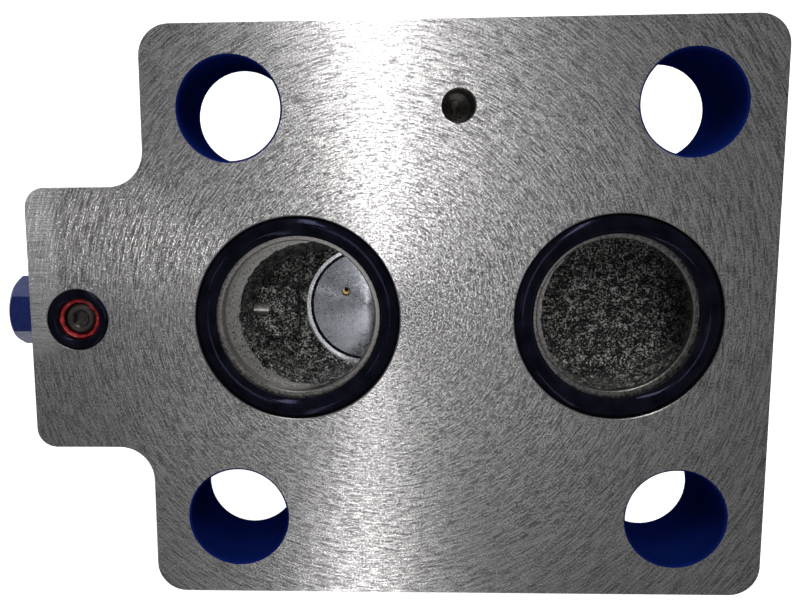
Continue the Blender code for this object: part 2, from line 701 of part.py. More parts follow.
def make_sleeve():
    """The cartridge sleeve with its seat, flow holes and seal grooves."""
    nose_groove = SLEEVE_TOP + (SLEEVE_NOSE_LENGTH - SEAL_GROOVE) / 2 - GAP
    seat_end = SLEEVE_TOP + SLEEVE_SEAT_LAND
    cone = SLEEVE_UNDERCUT_R - SLEEVE_SEAT_R
    undercut_end = seat_end + cone + SLEEVE_UNDERCUT_LENGTH
    upper = UPPER_GROOVE_TOP
    outline = [
        (SLEEVE_TOP, SLEEVE_SEAT_R),
        (SLEEVE_TOP, SLEEVE_NOSE_R),
        (nose_groove, SLEEVE_NOSE_R),
        (nose_groove, SLEEVE_NOSE_R - NOSE_GROOVE_DEPTH),
        (nose_groove + SEAL_GROOVE, SLEEVE_NOSE_R - NOSE_GROOVE_DEPTH),
        (nose_groove + SEAL_GROOVE, SLEEVE_NOSE_R),
        (SLEEVE_SHOULDER, SLEEVE_NOSE_R),
        (SLEEVE_SHOULDER, SLEEVE_R),
        (upper, SLEEVE_R),
        (upper, SLEEVE_R - UPPER_GROOVE_DEPTH),
        (upper + UPPER_GROOVE_WIDTH, SLEEVE_R - UPPER_GROOVE_DEPTH),
        (upper + UPPER_GROOVE_WIDTH, SLEEVE_R),
        (SLEEVE_END, SLEEVE_R),
        (SLEEVE_END, SLEEVE_BORE_R),
        (undercut_end, SLEEVE_BORE_R),
        (undercut_end, SLEEVE_UNDERCUT_R),
        (seat_end + cone, SLEEVE_UNDERCUT_R),
        (seat_end, SLEEVE_SEAT_R),
    ]
    axis_top = at_depth(CARTRIDGE_X, 0.0, 0.0)
    sleeve = turned("cartridge_sleeve", outline, axis_top, DOWN, "hardened_steel", FINE)
    hole_depth = SLEEVE_SHOULDER + FLOW_HOLE_R + FLOW_HOLE_LAND
    for i in range(FLOW_HOLES):
        turn = math.tau * (i + 0.5) / FLOW_HOLES
        outward = Vector((math.cos(turn), math.sin(turn), 0.0))
        middle = at_depth(CARTRIDGE_X, 0.0, hole_depth)
        start = middle + outward * (SLEEVE_SEAT_R - BREAKOUT)
        drill(sleeve, f"flow_hole_{i + 1}", FLOW_HOLE_R, start, middle + outward * ANNULUS_R)

    middle = nose_groove + SEAL_GROOVE / 2
    floor = SLEEVE_NOSE_R - NOSE_GROOVE_DEPTH
    room = (NOSE_GROOVE_DEPTH + GAP) / 2
    origin = at_depth(CARTRIDGE_X, 0.0, middle)
    half = SEAL_GROOVE / 2 - SEAL_AIR
    ring_seal("sleeve_nose_seal", floor + room, room - SEAL_AIR, half, origin)

    floor = SLEEVE_R - UPPER_GROOVE_DEPTH
    room = (UPPER_GROOVE_DEPTH + GAP) / 2
    backup = upper + UPPER_GROOVE_WIDTH - BACKUP_RING_THICKNESS - SEAL_AIR
    half = (backup - upper) / 2 - SEAL_AIR
    origin = at_depth(CARTRIDGE_X, 0.0, (upper + backup) / 2)
    ring_seal("sleeve_upper_seal", floor + room, room - SEAL_AIR, half, origin)
    inner = floor + SEAL_AIR
    outer = SLEEVE_R + GAP - SEAL_AIR
    thick = BACKUP_RING_THICKNESS
    outline = [(0.0, inner), (0.0, outer), (thick, outer), (thick, inner)]
    origin = at_depth(CARTRIDGE_X, 0.0, backup)
    turned("sleeve_backup_ring", outline, origin, DOWN, "backup_plastic")


def make_poppet():
    """The main poppet: a cup that slides in the sleeve, with a jet in its nose."""
    origin = at_depth(CARTRIDGE_X, 0.0, POPPET_TOP)
    cone = POPPET_R - POPPET_NOSE_R
    nose = 0.4
    outline = [
        (0.0, 0.0),
        (0.0, POPPET_NOSE_R),
        (nose, POPPET_NOSE_R),
        (nose + cone, POPPET_R),
        (POPPET_LENGTH, POPPET_R),
        (POPPET_LENGTH, POPPET_CUP_R),
        (POPPET_FLOOR, POPPET_CUP_R),
        (POPPET_FLOOR, 0.0),
    ]
    poppet = turned("main_poppet", outline, origin, DOWN, "hardened_steel", FINE)
    jet_axis = (CARTRIDGE_X + JET_OFFSET[0], JET_OFFSET[1])
    jet_top = POPPET_FLOOR_DEPTH - JET_LENGTH
    start = at_depth(*jet_axis, POPPET_TOP - BREAKOUT)
    end = at_depth(*jet_axis, POPPET_FLOOR_DEPTH)
    drill(poppet, "nose_orifice", NOSE_ORIFICE_R, start, end, 12)
    start = at_depth(*jet_axis, jet_top - GAP)
    end = at_depth(*jet_axis, POPPET_FLOOR_DEPTH + BREAKOUT)
    drill(poppet, "jet_thread", JET_R + GAP, start, end)
    jet = [(0.0, JET_BORE_R), (0.0, JET_R), (JET_LENGTH, JET_R), (JET_LENGTH, JET_BORE_R)]
    turned("poppet_jet", jet, at_depth(*jet_axis, jet_top), DOWN, "brass", COARSE)

    start = at_depth(CARTRIDGE_X, 0.0, POPPET_FLOOR_DEPTH + GAP)
    length = BODY_HEIGHT - POPPET_FLOOR_DEPTH - GAP
    coil("main_spring", MAIN_SPRING_R, MAIN_SPRING_WIRE_R, MAIN_SPRING_TURNS, start, length,
         DOWN, "spring_steel")


def make_pilot_housing():
    """The pilot head: a block with the pilot bore along X and four sunk screws."""
    wide = HEAD_WIDTH / 2
    block = rounded([
        (HEAD_RIGHT, -wide, HEAD_CORNER_R),
        (HEAD_RIGHT, wide, HEAD_CORNER_R),
        (HEAD_LEFT, wide, HEAD_CORNER_R),
        (HEAD_LEFT, -wide, HEAD_CORNER_R),
    ], 4)
    start = at_depth(0.0, 0.0, HEAD_BOTTOM)
    head = prism("pilot_housing", block, start, HEAD_HEIGHT, UP, "blue_paint")

    seat_bottom = SEAT_FACE_X - PILOT_SEAT_LENGTH - GAP
    plug_end = HEAD_LEFT + END_PLUG_LENGTH + 2 * GAP
    jet_end = SUPPLY_JET_X + JET_LENGTH + GAP
    outline = [
        (HEAD_LEFT - BREAKOUT, 0.0),
        (HEAD_LEFT - BREAKOUT, END_PLUG_R + GAP),
        (plug_end, END_PLUG_R + GAP),
        (plug_end, JET_R + GAP),
        (jet_end, JET_R + GAP),
        (jet_end, RISER_R),
        (seat_bottom, RISER_R),
        (seat_bottom, PILOT_SEAT_R + GAP),
        (SEAT_POCKET_END_X, PILOT_SEAT_R + GAP),
        (SEAT_POCKET_END_X, SPRING_CHAMBER_R),
        (SPRING_CHAMBER_END_X, SPRING_CHAMBER_R),
        (SPRING_CHAMBER_END_X, BUSH_R + GAP),
        (HEAD_RIGHT + BREAKOUT, BUSH_R + GAP),
        (HEAD_RIGHT + BREAKOUT, 0.0),
    ]
    origin = at_depth(0.0, 0.0, PILOT_AXIS)
    cut(head, turned("pilot_bore", outline, origin, RIGHT, sides=MEDIUM))

    above = HEAD_TOP - BREAKOUT
    vent_x = CARTRIDGE_X - SLEEVE_BORE_R + 2.5
    for label, x, radius in (
        ("head_riser", PILOT_RISER_X, RISER_R),
        ("head_drain", DRAIN_X, RISER_R),
        ("head_vent", vent_x, PILOT_INLET_R),
    ):
        end = at_depth(x, 0.0, PILOT_AXIS)
        drill(head, label, radius, at_depth(x, 0.0, above), end, 16)

    for i, place in enumerate(SCREW_PLACES, 1):
        outline = [
            (above, 0.0),
            (above, SCREW_R + GAP),
            (SCREW_SEAT, SCREW_R + GAP),
            (SCREW_SEAT, COUNTERBORE_R),
            (HEAD_BOTTOM + BREAKOUT, COUNTERBORE_R),
            (HEAD_BOTTOM + BREAKOUT, 0.0),
        ]
        tool = turned(f"head_screw_hole_{i}", outline, at_depth(*place, 0.0), DOWN, sides=COARSE)
        cut(head, tool)
    end = at_depth(*DOWEL_PLACE, HEAD_TOP + DOWEL_DEPTH)
    drill(head, "head_dowel_hole", DOWEL_R + GAP, at_depth(*DOWEL_PLACE, above), end, 16)

    half = JOINT_SEAL_WIDTH / 2
    floor = HEAD_TOP + JOINT_GROOVE_DEPTH
    for label, x, radius in (
        ("joint_seal_main", CARTRIDGE_X, MAIN_JOINT_SEAL_R),
        ("joint_seal_pilot", PILOT_RISER_X, SMALL_JOINT_SEAL_R),
        ("joint_seal_drain", DRAIN_X, SMALL_JOINT_SEAL_R),
    ):
        outer = radius + half + GAP
        inner = radius - half - GAP
        outline = [(above, inner), (above, outer), (floor, outer), (floor, inner)]
        cut(head, turned(label + "_groove", outline, at_depth(x, 0.0, 0.0), DOWN, sides=MEDIUM))
        squeeze = (JOINT_GROOVE_DEPTH - GAP) / 2
        depth = floor - GAP - squeeze
        origin = at_depth(x, 0.0, depth)
        ring_seal(label, radius, half, squeeze, origin)

    port = at_depth(GAUGE_X, wide + BREAKOUT, PILOT_AXIS)
    inside = at_depth(GAUGE_X, wide - GAUGE_PLUG_LENGTH - 2 * GAP, PILOT_AXIS)
    drill(head, "gauge_port", GAUGE_PLUG_R + GAP, port, inside)
    drill(head, "gauge_line", PILOT_INLET_R, port, at_depth(GAUGE_X, 0.0, PILOT_AXIS), 12)

    for i, x in enumerate(rivet_places(), 1):
        start = at_depth(x, -wide - BREAKOUT, PILOT_AXIS)
        end = at_depth(x, -wide + RIVET_LENGTH, PILOT_AXIS)
        drill(head, f"rivet_hole_{i}", RIVET_R + GAP, start, end, 12)
    return head


def rivet_places():
    reach = PLATE_LENGTH / 2 - RIVET_INSET
    return [CARTRIDGE_X - reach, CARTRIDGE_X + reach]


def make_head_fixings():
    """The four socket screws and the dowel that hold and locate the head."""
    chamfer = 0.6
    for i, place in enumerate(SCREW_PLACES, 1):
        origin = at_depth(*place, SCREW_SEAT + GAP)
        outline = [
            (-SCREW_LENGTH, 0.0),
            (-SCREW_LENGTH, SCREW_R - chamfer),
            (-SCREW_LENGTH + chamfer, SCREW_R),
            (0.0, SCREW_R),
            (0.0, SCREW_HEAD_R),
            (SCREW_HEAD_HEIGHT - chamfer, SCREW_HEAD_R),
            (SCREW_HEAD_HEIGHT, SCREW_HEAD_R - chamfer),
            (SCREW_HEAD_HEIGHT, 0.0),
        ]
        screw = turned(f"head_screw_{i}", outline, origin, DOWN, "black_oxide", 16)
        top = origin + DOWN * SCREW_HEAD_HEIGHT
        label = f"head_screw_socket_{i}"
        socket(screw, label, SCREW_SOCKET_ACROSS, top, UP, SCREW_SOCKET_DEPTH)
    origin = at_depth(*DOWEL_PLACE, BODY_HEIGHT - DOWEL_DEPTH + GAP)
    length = 2 * DOWEL_DEPTH - GAP
    outline = [
        (0.0, 0.0),
        (0.0, DOWEL_R - chamfer),
        (chamfer, DOWEL_R),
        (length - chamfer, DOWEL_R),
        (length, DOWEL_R - chamfer),
        (length, 0.0),
    ]
    turned("locating_dowel", outline, origin, DOWN, "hardened_steel", COARSE)


def make_pilot_stage():
    """Seat, cone, spring and spring plate on the pilot axis."""
    axis_start = at_depth(0.0, 0.0, PILOT_AXIS)
    face = SEAT_FACE_X
    bevel = 1.0
    outline = [
        (face - PILOT_SEAT_LENGTH, PILOT_SEAT_BORE_R),
        (face - PILOT_SEAT_LENGTH, PILOT_SEAT_R),
        (face, PILOT_SEAT_R),
        (face, PILOT_SEAT_BORE_R + bevel),
        (face - bevel, PILOT_SEAT_BORE_R),
    ]
    turned("pilot_seat", outline, axis_start, RIGHT, "hardened_steel", COARSE)

    clear = PILOT_SEAT_BORE_R + bevel - GAP * math.sqrt(2.0)
    tip = 0.4
    cone_end = face + CONE_R - clear
    collar = SEAT_POCKET_END_X + 2.0
    collar_end = collar + CONE_COLLAR_THICKNESS
    guide_r = SPRING_CHAMBER_R - GAP
    stub = 3.5
    outline = [
        (face - clear + tip, 0.0),
        (face - clear + tip, tip),
        (cone_end, CONE_R),
        (collar, CONE_R),
        (collar, guide_r),
        (collar_end, guide_r),
        (collar_end, SPRING_PILOT_R),
        (collar_end + stub, SPRING_PILOT_R),
        (collar_end + stub, 0.0),
    ]
    turned("pilot_cone", outline, axis_start, RIGHT, "hardened_steel", MEDIUM)

    start = at_depth(collar_end + GAP, 0.0, PILOT_AXIS)
    length = PLATE_X - collar_end - 2 * GAP
    coil("pilot_spring", PILOT_SPRING_R, PILOT_SPRING_WIRE_R, PILOT_SPRING_TURNS, start, length,
         RIGHT, "spring_steel")

    groove = PLATE_X + (PLATE_THICKNESS - PLATE_GROOVE_WIDTH) / 2
    groove_end = groove + PLATE_GROOVE_WIDTH
    plate_end = PLATE_X + PLATE_THICKNESS
    outline = [
        (PLATE_X - stub, 0.0),
        (PLATE_X - stub, SPRING_PILOT_R),
        (PLATE_X, SPRING_PILOT_R),
        (PLATE_X, guide_r),
        (groove, guide_r),
        (groove, PLATE_GROOVE_R),
        (groove_end, PLATE_GROOVE_R),
        (groove_end, guide_r),
        (plate_end, guide_r),
        (plate_end, 0.0),
    ]
    turned("spring_plate", outline, axis_start, RIGHT, "zinc_plate", MEDIUM)
    inner = PLATE_GROOVE_R + SEAL_AIR
    outer = SPRING_CHAMBER_R - SEAL_AIR
    bulge = 0.35
    middle = (groove + groove_end) / 2
    flat = PLATE_GROOVE_WIDTH / 2 - SEAL_AIR
    outline = [
        (middle - flat + bulge, inner),
        (middle - flat, inner + bulge),
        (middle - flat, outer - bulge),
        (middle - flat + bulge, outer),
        (middle + flat - bulge, outer),
        (middle + flat, outer - bulge),
        (middle + flat, inner + bulge),
        (middle + flat - bulge, inner),
    ]
    turned("spring_plate_seal", outline, axis_start, RIGHT, "black_rubber", MEDIUM)


def make_adjuster():
    """Bush, spindle, lock nut and cap on the right end of the head."""
    axis_start = at_depth(0.0, 0.0, PILOT_AXIS)
    bore = SPINDLE_R + GAP
    bush_end = BUSH_STUB_X + BUSH_STUB
    outline = [
        (SPRING_CHAMBER_END_X + GAP, bore),
        (SPRING_CHAMBER_END_X + GAP, BUSH_R),
        (BUSH_COLLAR_X + 1.0, BUSH_R),
        (BUSH_COLLAR_X + 1.0, BUSH_STUB_R),
        (bush_end, BUSH_STUB_R),
        (bush_end, bore),
    ]
    bush = turned("adjuster_bush", outline, axis_start, RIGHT, "zinc_plate", MEDIUM)
    origin = at_depth(BUSH_COLLAR_X, 0.0, PILOT_AXIS)
    collar = prism("bush_collar", hexagon(BUSH_ACROSS), origin, BUSH_COLLAR, RIGHT)
    inside = origin - RIGHT * BREAKOUT
    drill(collar, "bush_collar_bore", (bore + BUSH_STUB_R) / 2, inside,
          origin + RIGHT * (BUSH_COLLAR + BREAKOUT))
    join(bush, collar)

    inner = BUSH_R + GAP
    outline = [
        (0.0, inner),
        (0.0, BUSH_WASHER_R),
        (BUSH_WASHER_THICKNESS, BUSH_WASHER_R),
        (BUSH_WASHER_THICKNESS, inner),
    ]
    origin = at_depth(HEAD_RIGHT + GAP, 0.0, PILOT_AXIS)
    turned("adjuster_bush_washer", outline, origin, RIGHT, "copper")

    chamfer = 0.6
    outline = [
        (PLATE_X + PLATE_THICKNESS + GAP, 0.0),
        (PLATE_X + PLATE_THICKNESS + GAP, SPINDLE_R - chamfer),
        (PLATE_X + PLATE_THICKNESS + GAP + chamfer, SPINDLE_R),
        (SPINDLE_END_X - chamfer, SPINDLE_R),
        (SPINDLE_END_X, SPINDLE_R - chamfer),
        (SPINDLE_END_X, 0.0),
    ]
    spindle = turned("adjusting_spindle", outline, axis_start, RIGHT, "zinc_plate", COARSE)
    end = at_depth(SPINDLE_END_X, 0.0, PILOT_AXIS)
    socket(spindle, "spindle_socket", SPINDLE_SOCKET_ACROSS, end, LEFT, SPINDLE_SOCKET_DEPTH)

    origin = at_depth(NUT_X, 0.0, PILOT_AXIS)
    nut = prism("lock_nut", hexagon(NUT_ACROSS), origin, NUT_HEIGHT, RIGHT, "zinc_plate")
    drill(nut, "lock_nut_thread", bore, origin - RIGHT * BREAKOUT,
          origin + RIGHT * (NUT_HEIGHT + BREAKOUT))

    start = BUSH_STUB_X + GAP
    inner = BUSH_STUB_R + GAP
    outline = [
        (CAP_END_X - CAP_WALL, 0.0),
        (CAP_END_X - CAP_WALL, inner),
        (start, inner),
        (start, CAP_R),
        (CAP_END_X - 1.0, CAP_R),
        (CAP_END_X, CAP_R - 1.0),
        (CAP_END_X, 0.0),
    ]
    turned("protective_cap", outline, axis_start, RIGHT, "zinc_plate")


def make_head_plugs():
    """The supply jet, the plug of the pilot drilling, and the gauge plug."""
    outline = [(0.0, JET_BORE_R), (0.0, JET_R), (JET_LENGTH, JET_R), (JET_LENGTH, JET_BORE_R)]
    origin = at_depth(SUPPLY_JET_X, 0.0, PILOT_AXIS)
    turned("supply_jet", outline, origin, RIGHT, "brass", COARSE)

    chamfer = 0.6
    origin = at_depth(HEAD_LEFT + GAP, 0.0, PILOT_AXIS)
    outline = [
        (0.0, 0.0),
        (0.0, END_PLUG_R - chamfer),
        (chamfer, END_PLUG_R),
        (END_PLUG_LENGTH, END_PLUG_R),
        (END_PLUG_LENGTH, 0.0),
    ]
    plug = turned("head_end_plug", outline, origin, RIGHT, "black_oxide", COARSE)
    across = END_PLUG_SOCKET_ACROSS
    socket(plug, "head_end_plug_socket", across, origin, RIGHT, END_PLUG_SOCKET_DEPTH)

    side = HEAD_WIDTH / 2
    inner = GAUGE_PLUG_R + GAP
    origin = at_depth(GAUGE_X, side + GAP, PILOT_AXIS)
    outline = [
        (0.0, inner),
        (0.0, GAUGE_COLLAR_R),
        (GAUGE_WASHER_THICKNESS, GAUGE_COLLAR_R),
        (GAUGE_WASHER_THICKNESS, inner),
    ]
    turned("gauge_plug_washer", outline, origin, BACK, "copper", COARSE)
    collar = side + 2 * GAP + GAUGE_WASHER_THICKNESS
    origin = at_depth(GAUGE_X, 0.0, PILOT_AXIS)
    outline = [
        (side - GAUGE_PLUG_LENGTH, 0.0),
        (side - GAUGE_PLUG_LENGTH, GAUGE_PLUG_R),
        (collar, GAUGE_PLUG_R),
        (collar, GAUGE_COLLAR_R),
        (collar + GAUGE_COLLAR - chamfer, GAUGE_COLLAR_R),
        (collar + GAUGE_COLLAR, GAUGE_COLLAR_R - chamfer),
        (collar + GAUGE_COLLAR, 0.0),
    ]
    plug = turned("gauge_plug", outline, origin, BACK, "zinc_plate", COARSE)
    top = at_depth(GAUGE_X, collar + GAUGE_COLLAR, PILOT_AXIS)
    socket(plug, "gauge_plug_socket", GAUGE_SOCKET_ACROSS, top, FRONT, GAUGE_SOCKET_DEPTH)


def make_name_plate():
    """The blank plate on the front of the head, with its two drive rivets."""
    front = -HEAD_WIDTH / 2 - GAP
    half_long = PLATE_LENGTH / 2
    half_high = PLATE_HEIGHT / 2
    low = (CARTRIDGE_X - half_long, front - PLATE_SHEET, -PILOT_AXIS - half_high)
    high = (CARTRIDGE_X + half_long, front, -PILOT_AXIS + half_high)
    plate = box("name_plate", low, high, "aluminium")
    for i, x in enumerate(rivet_places(), 1):
        start = at_depth(x, front + BREAKOUT, PILOT_AXIS)
        end = at_depth(x, front - PLATE_SHEET - BREAKOUT, PILOT_AXIS)
        drill(plate, f"plate_hole_{i}", RIVET_R + GAP, start, end, 12)
        head = front - PLATE_SHEET - GAP
        origin = at_depth(x, head, PILOT_AXIS)
        inside = RIVET_LENGTH - GAP + PLATE_SHEET + GAP
        outline = [
            (-inside, 0.0),
            (-inside, RIVET_R),
            (0.0, RIVET_R),
            (0.0, RIVET_HEAD_R),
            (RIVET_HEAD / 2, RIVET_HEAD_R),
            (RIVET_HEAD, RIVET_HEAD_R / 2),
            (RIVET_HEAD, 0.0),
        ]
        turned(f"plate_rivet_{i}", outline, origin, FRONT, "aluminium", 12)


clear_scene()
make_body()
make_port_seals()
make_pilot_port_plug()
make_side_plug()
make_sleeve()
make_poppet()
make_pilot_housing()
make_head_fixings()
make_pilot_stage()
make_adjuster()
make_head_plugs()
make_name_plate()
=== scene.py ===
import math

import bpy
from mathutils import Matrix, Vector


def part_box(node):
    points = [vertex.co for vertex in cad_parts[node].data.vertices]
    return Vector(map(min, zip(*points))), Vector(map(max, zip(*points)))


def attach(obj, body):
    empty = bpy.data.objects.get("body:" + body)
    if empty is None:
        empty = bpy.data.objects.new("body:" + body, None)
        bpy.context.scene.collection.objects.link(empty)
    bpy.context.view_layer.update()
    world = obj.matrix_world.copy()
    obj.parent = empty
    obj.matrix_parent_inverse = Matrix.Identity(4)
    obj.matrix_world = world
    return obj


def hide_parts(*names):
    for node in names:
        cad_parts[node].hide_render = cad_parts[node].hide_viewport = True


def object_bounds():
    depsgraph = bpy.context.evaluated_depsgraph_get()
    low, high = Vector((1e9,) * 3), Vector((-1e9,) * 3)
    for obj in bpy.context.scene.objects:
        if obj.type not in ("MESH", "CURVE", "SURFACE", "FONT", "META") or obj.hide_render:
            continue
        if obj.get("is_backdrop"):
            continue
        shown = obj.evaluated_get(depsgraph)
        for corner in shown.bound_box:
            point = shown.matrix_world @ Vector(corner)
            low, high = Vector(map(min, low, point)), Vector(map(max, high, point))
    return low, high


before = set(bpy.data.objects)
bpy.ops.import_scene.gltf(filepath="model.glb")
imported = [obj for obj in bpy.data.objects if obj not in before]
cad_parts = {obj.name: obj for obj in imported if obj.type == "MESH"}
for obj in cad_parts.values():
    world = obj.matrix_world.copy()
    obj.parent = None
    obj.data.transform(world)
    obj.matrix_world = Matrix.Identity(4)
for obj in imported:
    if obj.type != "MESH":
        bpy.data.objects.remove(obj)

cad_low, cad_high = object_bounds()
mm = 0.001

# ---- Valve body -----------------------------------------------------------------------
# A grey iron casting: a flange with a tongue, and a tower under it that holds the cartridge.
# It is painted dark blue all over, then the port face is ground and the ports are bored, so
# that the cored chambers behind them keep the rough skin that the sand left.
def middle(node):
    """The centre of a CAD node's box."""
    low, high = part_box(node)
    return (low + high) / 2


body_low, body_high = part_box("valve_body")
block_x = body_high.x
block_y = body_high.y
flange_depth = 24 * mm
tongue_y = 26.5 * mm
tower_x = 58 * mm
tower_y = 25.5 * mm
port_a_x = middle("port_a_seal").x
port_b_x = middle("port_b_seal").x
pilot_port_x = middle("pilot_port_seal").x
pilot_line_z = middle("side_plug").z
cartridge_x = middle("cartridge_sleeve").x
sleeve_low, sleeve_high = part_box("cartridge_sleeve")
sleeve_r = (sleeve_high.x - sleeve_low.x) / 2
bolt_x = 44.45 * mm
bolt_y = 41.3 * mm
bolt_hole_r = 10 * mm
port_seat_r = 20.5 * mm
pilot_seat_r = 6.25 * mm


def new_material(name, colour, roughness, metallic):
    """A material with its Principled shader set, ready for pattern nodes."""
    material = bpy.data.materials.new(name)
    material.use_nodes = True
    shader = material.node_tree.nodes["Principled BSDF"]
    shader.inputs["Base Color"].default_value = (*colour, 1)
    shader.inputs["Roughness"].default_value = roughness
    shader.inputs["Metallic"].default_value = metallic
    return material, material.node_tree, shader


def add(tree, kind, inputs, **settings):
    """A node with its settings made and its sockets set or linked; gives its first output."""
    made = tree.nodes.new("ShaderNode" + kind)
    for key, value in settings.items():
        setattr(made, key, value)
    for socket, value in inputs.items():
        if isinstance(value, bpy.types.NodeSocket):
            tree.links.new(value, made.inputs[socket])
        else:
            made.inputs[socket].default_value = value
    return made.outputs[0]


def surface_point(tree):
    """Where the surface point lies in the valve's own coordinates."""
    return tree.nodes.new("ShaderNodeTexCoord").outputs["Object"]


def noise(tree, at, scale, detail=2.0, roughness=0.5):
    inputs = {"Vector": at, "Scale": scale, "Detail": detail, "Roughness": roughness}
    return add(tree, "TexNoise", inputs)


def spread(tree, value, low, high, to_low, to_high):
    """Stretch the part of a value between low and high over a new range, and clip the rest."""
    inputs = {0: value, 1: low, 2: high, 3: to_low, 4: to_high}
    return add(tree, "MapRange", inputs, clamp=True)


def mix_colours(tree, share, one, two):
    mixer = tree.nodes.new("ShaderNodeMix")
    mixer.data_type = "RGBA"
    for socket, value in ((0, share), (6, one), (7, two)):
        if isinstance(value, bpy.types.NodeSocket):
            tree.links.new(value, mixer.inputs[socket])
        elif socket:
            mixer.inputs[socket].default_value = (*value, 1)
        else:
            mixer.inputs[socket].default_value = value
    return mixer.outputs[2]


def bump(tree, shader, height, depth, strength=1.0):
    """Raise the surface by the height pattern, depth metres from low to high."""
    inputs = {"Height": height, "Distance": depth, "Strength": strength}
    tree.links.new(add(tree, "Bump", inputs), shader.inputs["Normal"])


def blue_paint(name, roughness, shine):
    """Dark blue machine paint over cast iron, with the sand's grain under it."""
    material, tree, shader = new_material(name, (0.003, 0.010, 0.09), roughness, 0)
    here = surface_point(tree)
    grain = noise(tree, here, 900, 3)
    swells = noise(tree, here, 90, 2)
    colour = mix_colours(tree, swells, (0.002, 0.007, 0.062), (0.004, 0.014, 0.125))
    tree.links.new(colour, shader.inputs["Base Color"])
    low, high = roughness * 0.8, roughness * 1.25
    tree.links.new(spread(tree, grain, 0.3, 0.7, low, high), shader.inputs["Roughness"])
    shader.inputs["Specular IOR Level"].default_value = shine
    bump(tree, shader, add(tree, "Math", {0: grain, 1: swells}, operation="ADD"), 0.12 * mm)
    return material


def ground_iron():
    """The port face, ground with a cup wheel: fine arcs round the middle of its sweep, with their shine
    painted into the colour as bright glints.
    """
    material, tree, shader = new_material("ground_iron", (0.40, 0.39, 0.385), 0.36, 1)
    here = surface_point(tree)
    sweep_centre = (-15.5 * mm, 2 * mm, 0)
    apart = add(tree, "VectorMath", {0: here, 1: sweep_centre}, operation="SUBTRACT")
    flat = add(tree, "VectorMath", {0: apart, 1: (1, 1, 0)}, operation="MULTIPLY")
    length = tree.nodes.new("ShaderNodeVectorMath")
    length.operation = "LENGTH"
    tree.links.new(flat, length.inputs[0])
    radius = length.outputs["Value"]
    heading = add(tree, "VectorMath", {0: flat}, operation="NORMALIZE")

    def arcs(across, along, detail):
        """Strokes that run round the sweep, with their width and length set by two scales."""
        stretch = (along, along, along)
        turned_on = add(tree, "VectorMath", {0: heading, 1: stretch}, operation="MULTIPLY")
        out = add(tree, "Math", {0: radius, 1: across}, operation="MULTIPLY")
        rise = add(tree, "CombineXYZ", {"Z": out})
        return noise(tree, add(tree, "VectorMath", {0: turned_on, 1: rise}), 1, detail, 0.6)

    strokes = arcs(2400, 24, 3)
    hairlines = arcs(6500, 12, 2)
    specks = noise(tree, here, 2600, 2)
    blotches = noise(tree, here, 45, 3)
    marks = add(tree, "Math", {0: strokes, 1: hairlines}, operation="ADD")
    marks = add(tree, "Math", {0: marks, 1: specks}, operation="ADD")
    # Painted highlight: the grinding marks lift the colour from a dark 0.095 grey to a pale 0.68, as
    # glints on the arcs.
    bright = spread(tree, marks, 1.28, 1.76, 0.0, 1.0)
    colour = mix_colours(tree, bright, (0.095, 0.091, 0.097), (0.68, 0.67, 0.65))
    dulled = spread(tree, blotches, 0.3, 0.7, 0, 0.25)
    toned = mix_colours(tree, dulled, colour, (0.30, 0.28, 0.31))

    # The end of the tongue above the pilot port was rubbed brighter, in straight lines.
    place = tree.nodes.new("ShaderNodeSeparateXYZ")
    tree.links.new(here, place.inputs[0])
    near_end = spread(tree, place.outputs["X"], -80.6 * mm, -79.4 * mm, 1, 0)
    upper = spread(tree, place.outputs["Y"], -9 * mm, -3 * mm, 0, 1)
    lines_at = add(tree, "VectorMath", {0: here, 1: (160, 5200, 0)}, operation="MULTIPLY")
    lines = spread(tree, noise(tree, lines_at, 1, 2), 0.42, 0.6, 0.15, 0.85)
    rubbed = add(tree, "Math", {0: near_end, 1: upper}, operation="MULTIPLY")
    rubbed = add(tree, "Math", {0: rubbed, 1: lines}, operation="MULTIPLY")
    toned = mix_colours(tree, rubbed, toned, (0.72, 0.71, 0.70))
    tree.links.new(toned, shader.inputs["Base Color"])
    tree.links.new(spread(tree, marks, 1.1, 1.9, 0.36, 0.22), shader.inputs["Roughness"])

    # Each point shines along its own line out from the middle of the sweep, across the arcs.
    shader.inputs["Anisotropic"].default_value = 0.78
    tree.links.new(heading, shader.inputs["Tangent"])
    bump(tree, shader, marks, 0.012 * mm)
    return material


def bored_iron():
    """Freshly bored iron, with the fine rings of the tool's feed."""
    material, tree, shader = new_material("bored_iron", (0.34, 0.33, 0.32), 0.34, 1)
    here = surface_point(tree)
    grain = noise(tree, here, 2200, 3)
    shades = spread(tree, grain, 0.35, 0.65, 0, 1)
    colour = mix_colours(tree, shades, (0.15, 0.146, 0.142), (0.26, 0.25, 0.24))
    tree.links.new(colour, shader.inputs["Base Color"])
    tree.links.new(spread(tree, grain, 0.3, 0.7, 0.24, 0.44), shader.inputs["Roughness"])
    inputs = {"Vector": here, "Scale": 420, "Distortion": 0.3, "Detail": 1}
    rings = add(tree, "TexWave", inputs, wave_type="BANDS", bands_direction="Z")
    bump(tree, shader, add(tree, "Math", {0: rings, 1: grain}, operation="ADD"), 0.02 * mm)
    return material


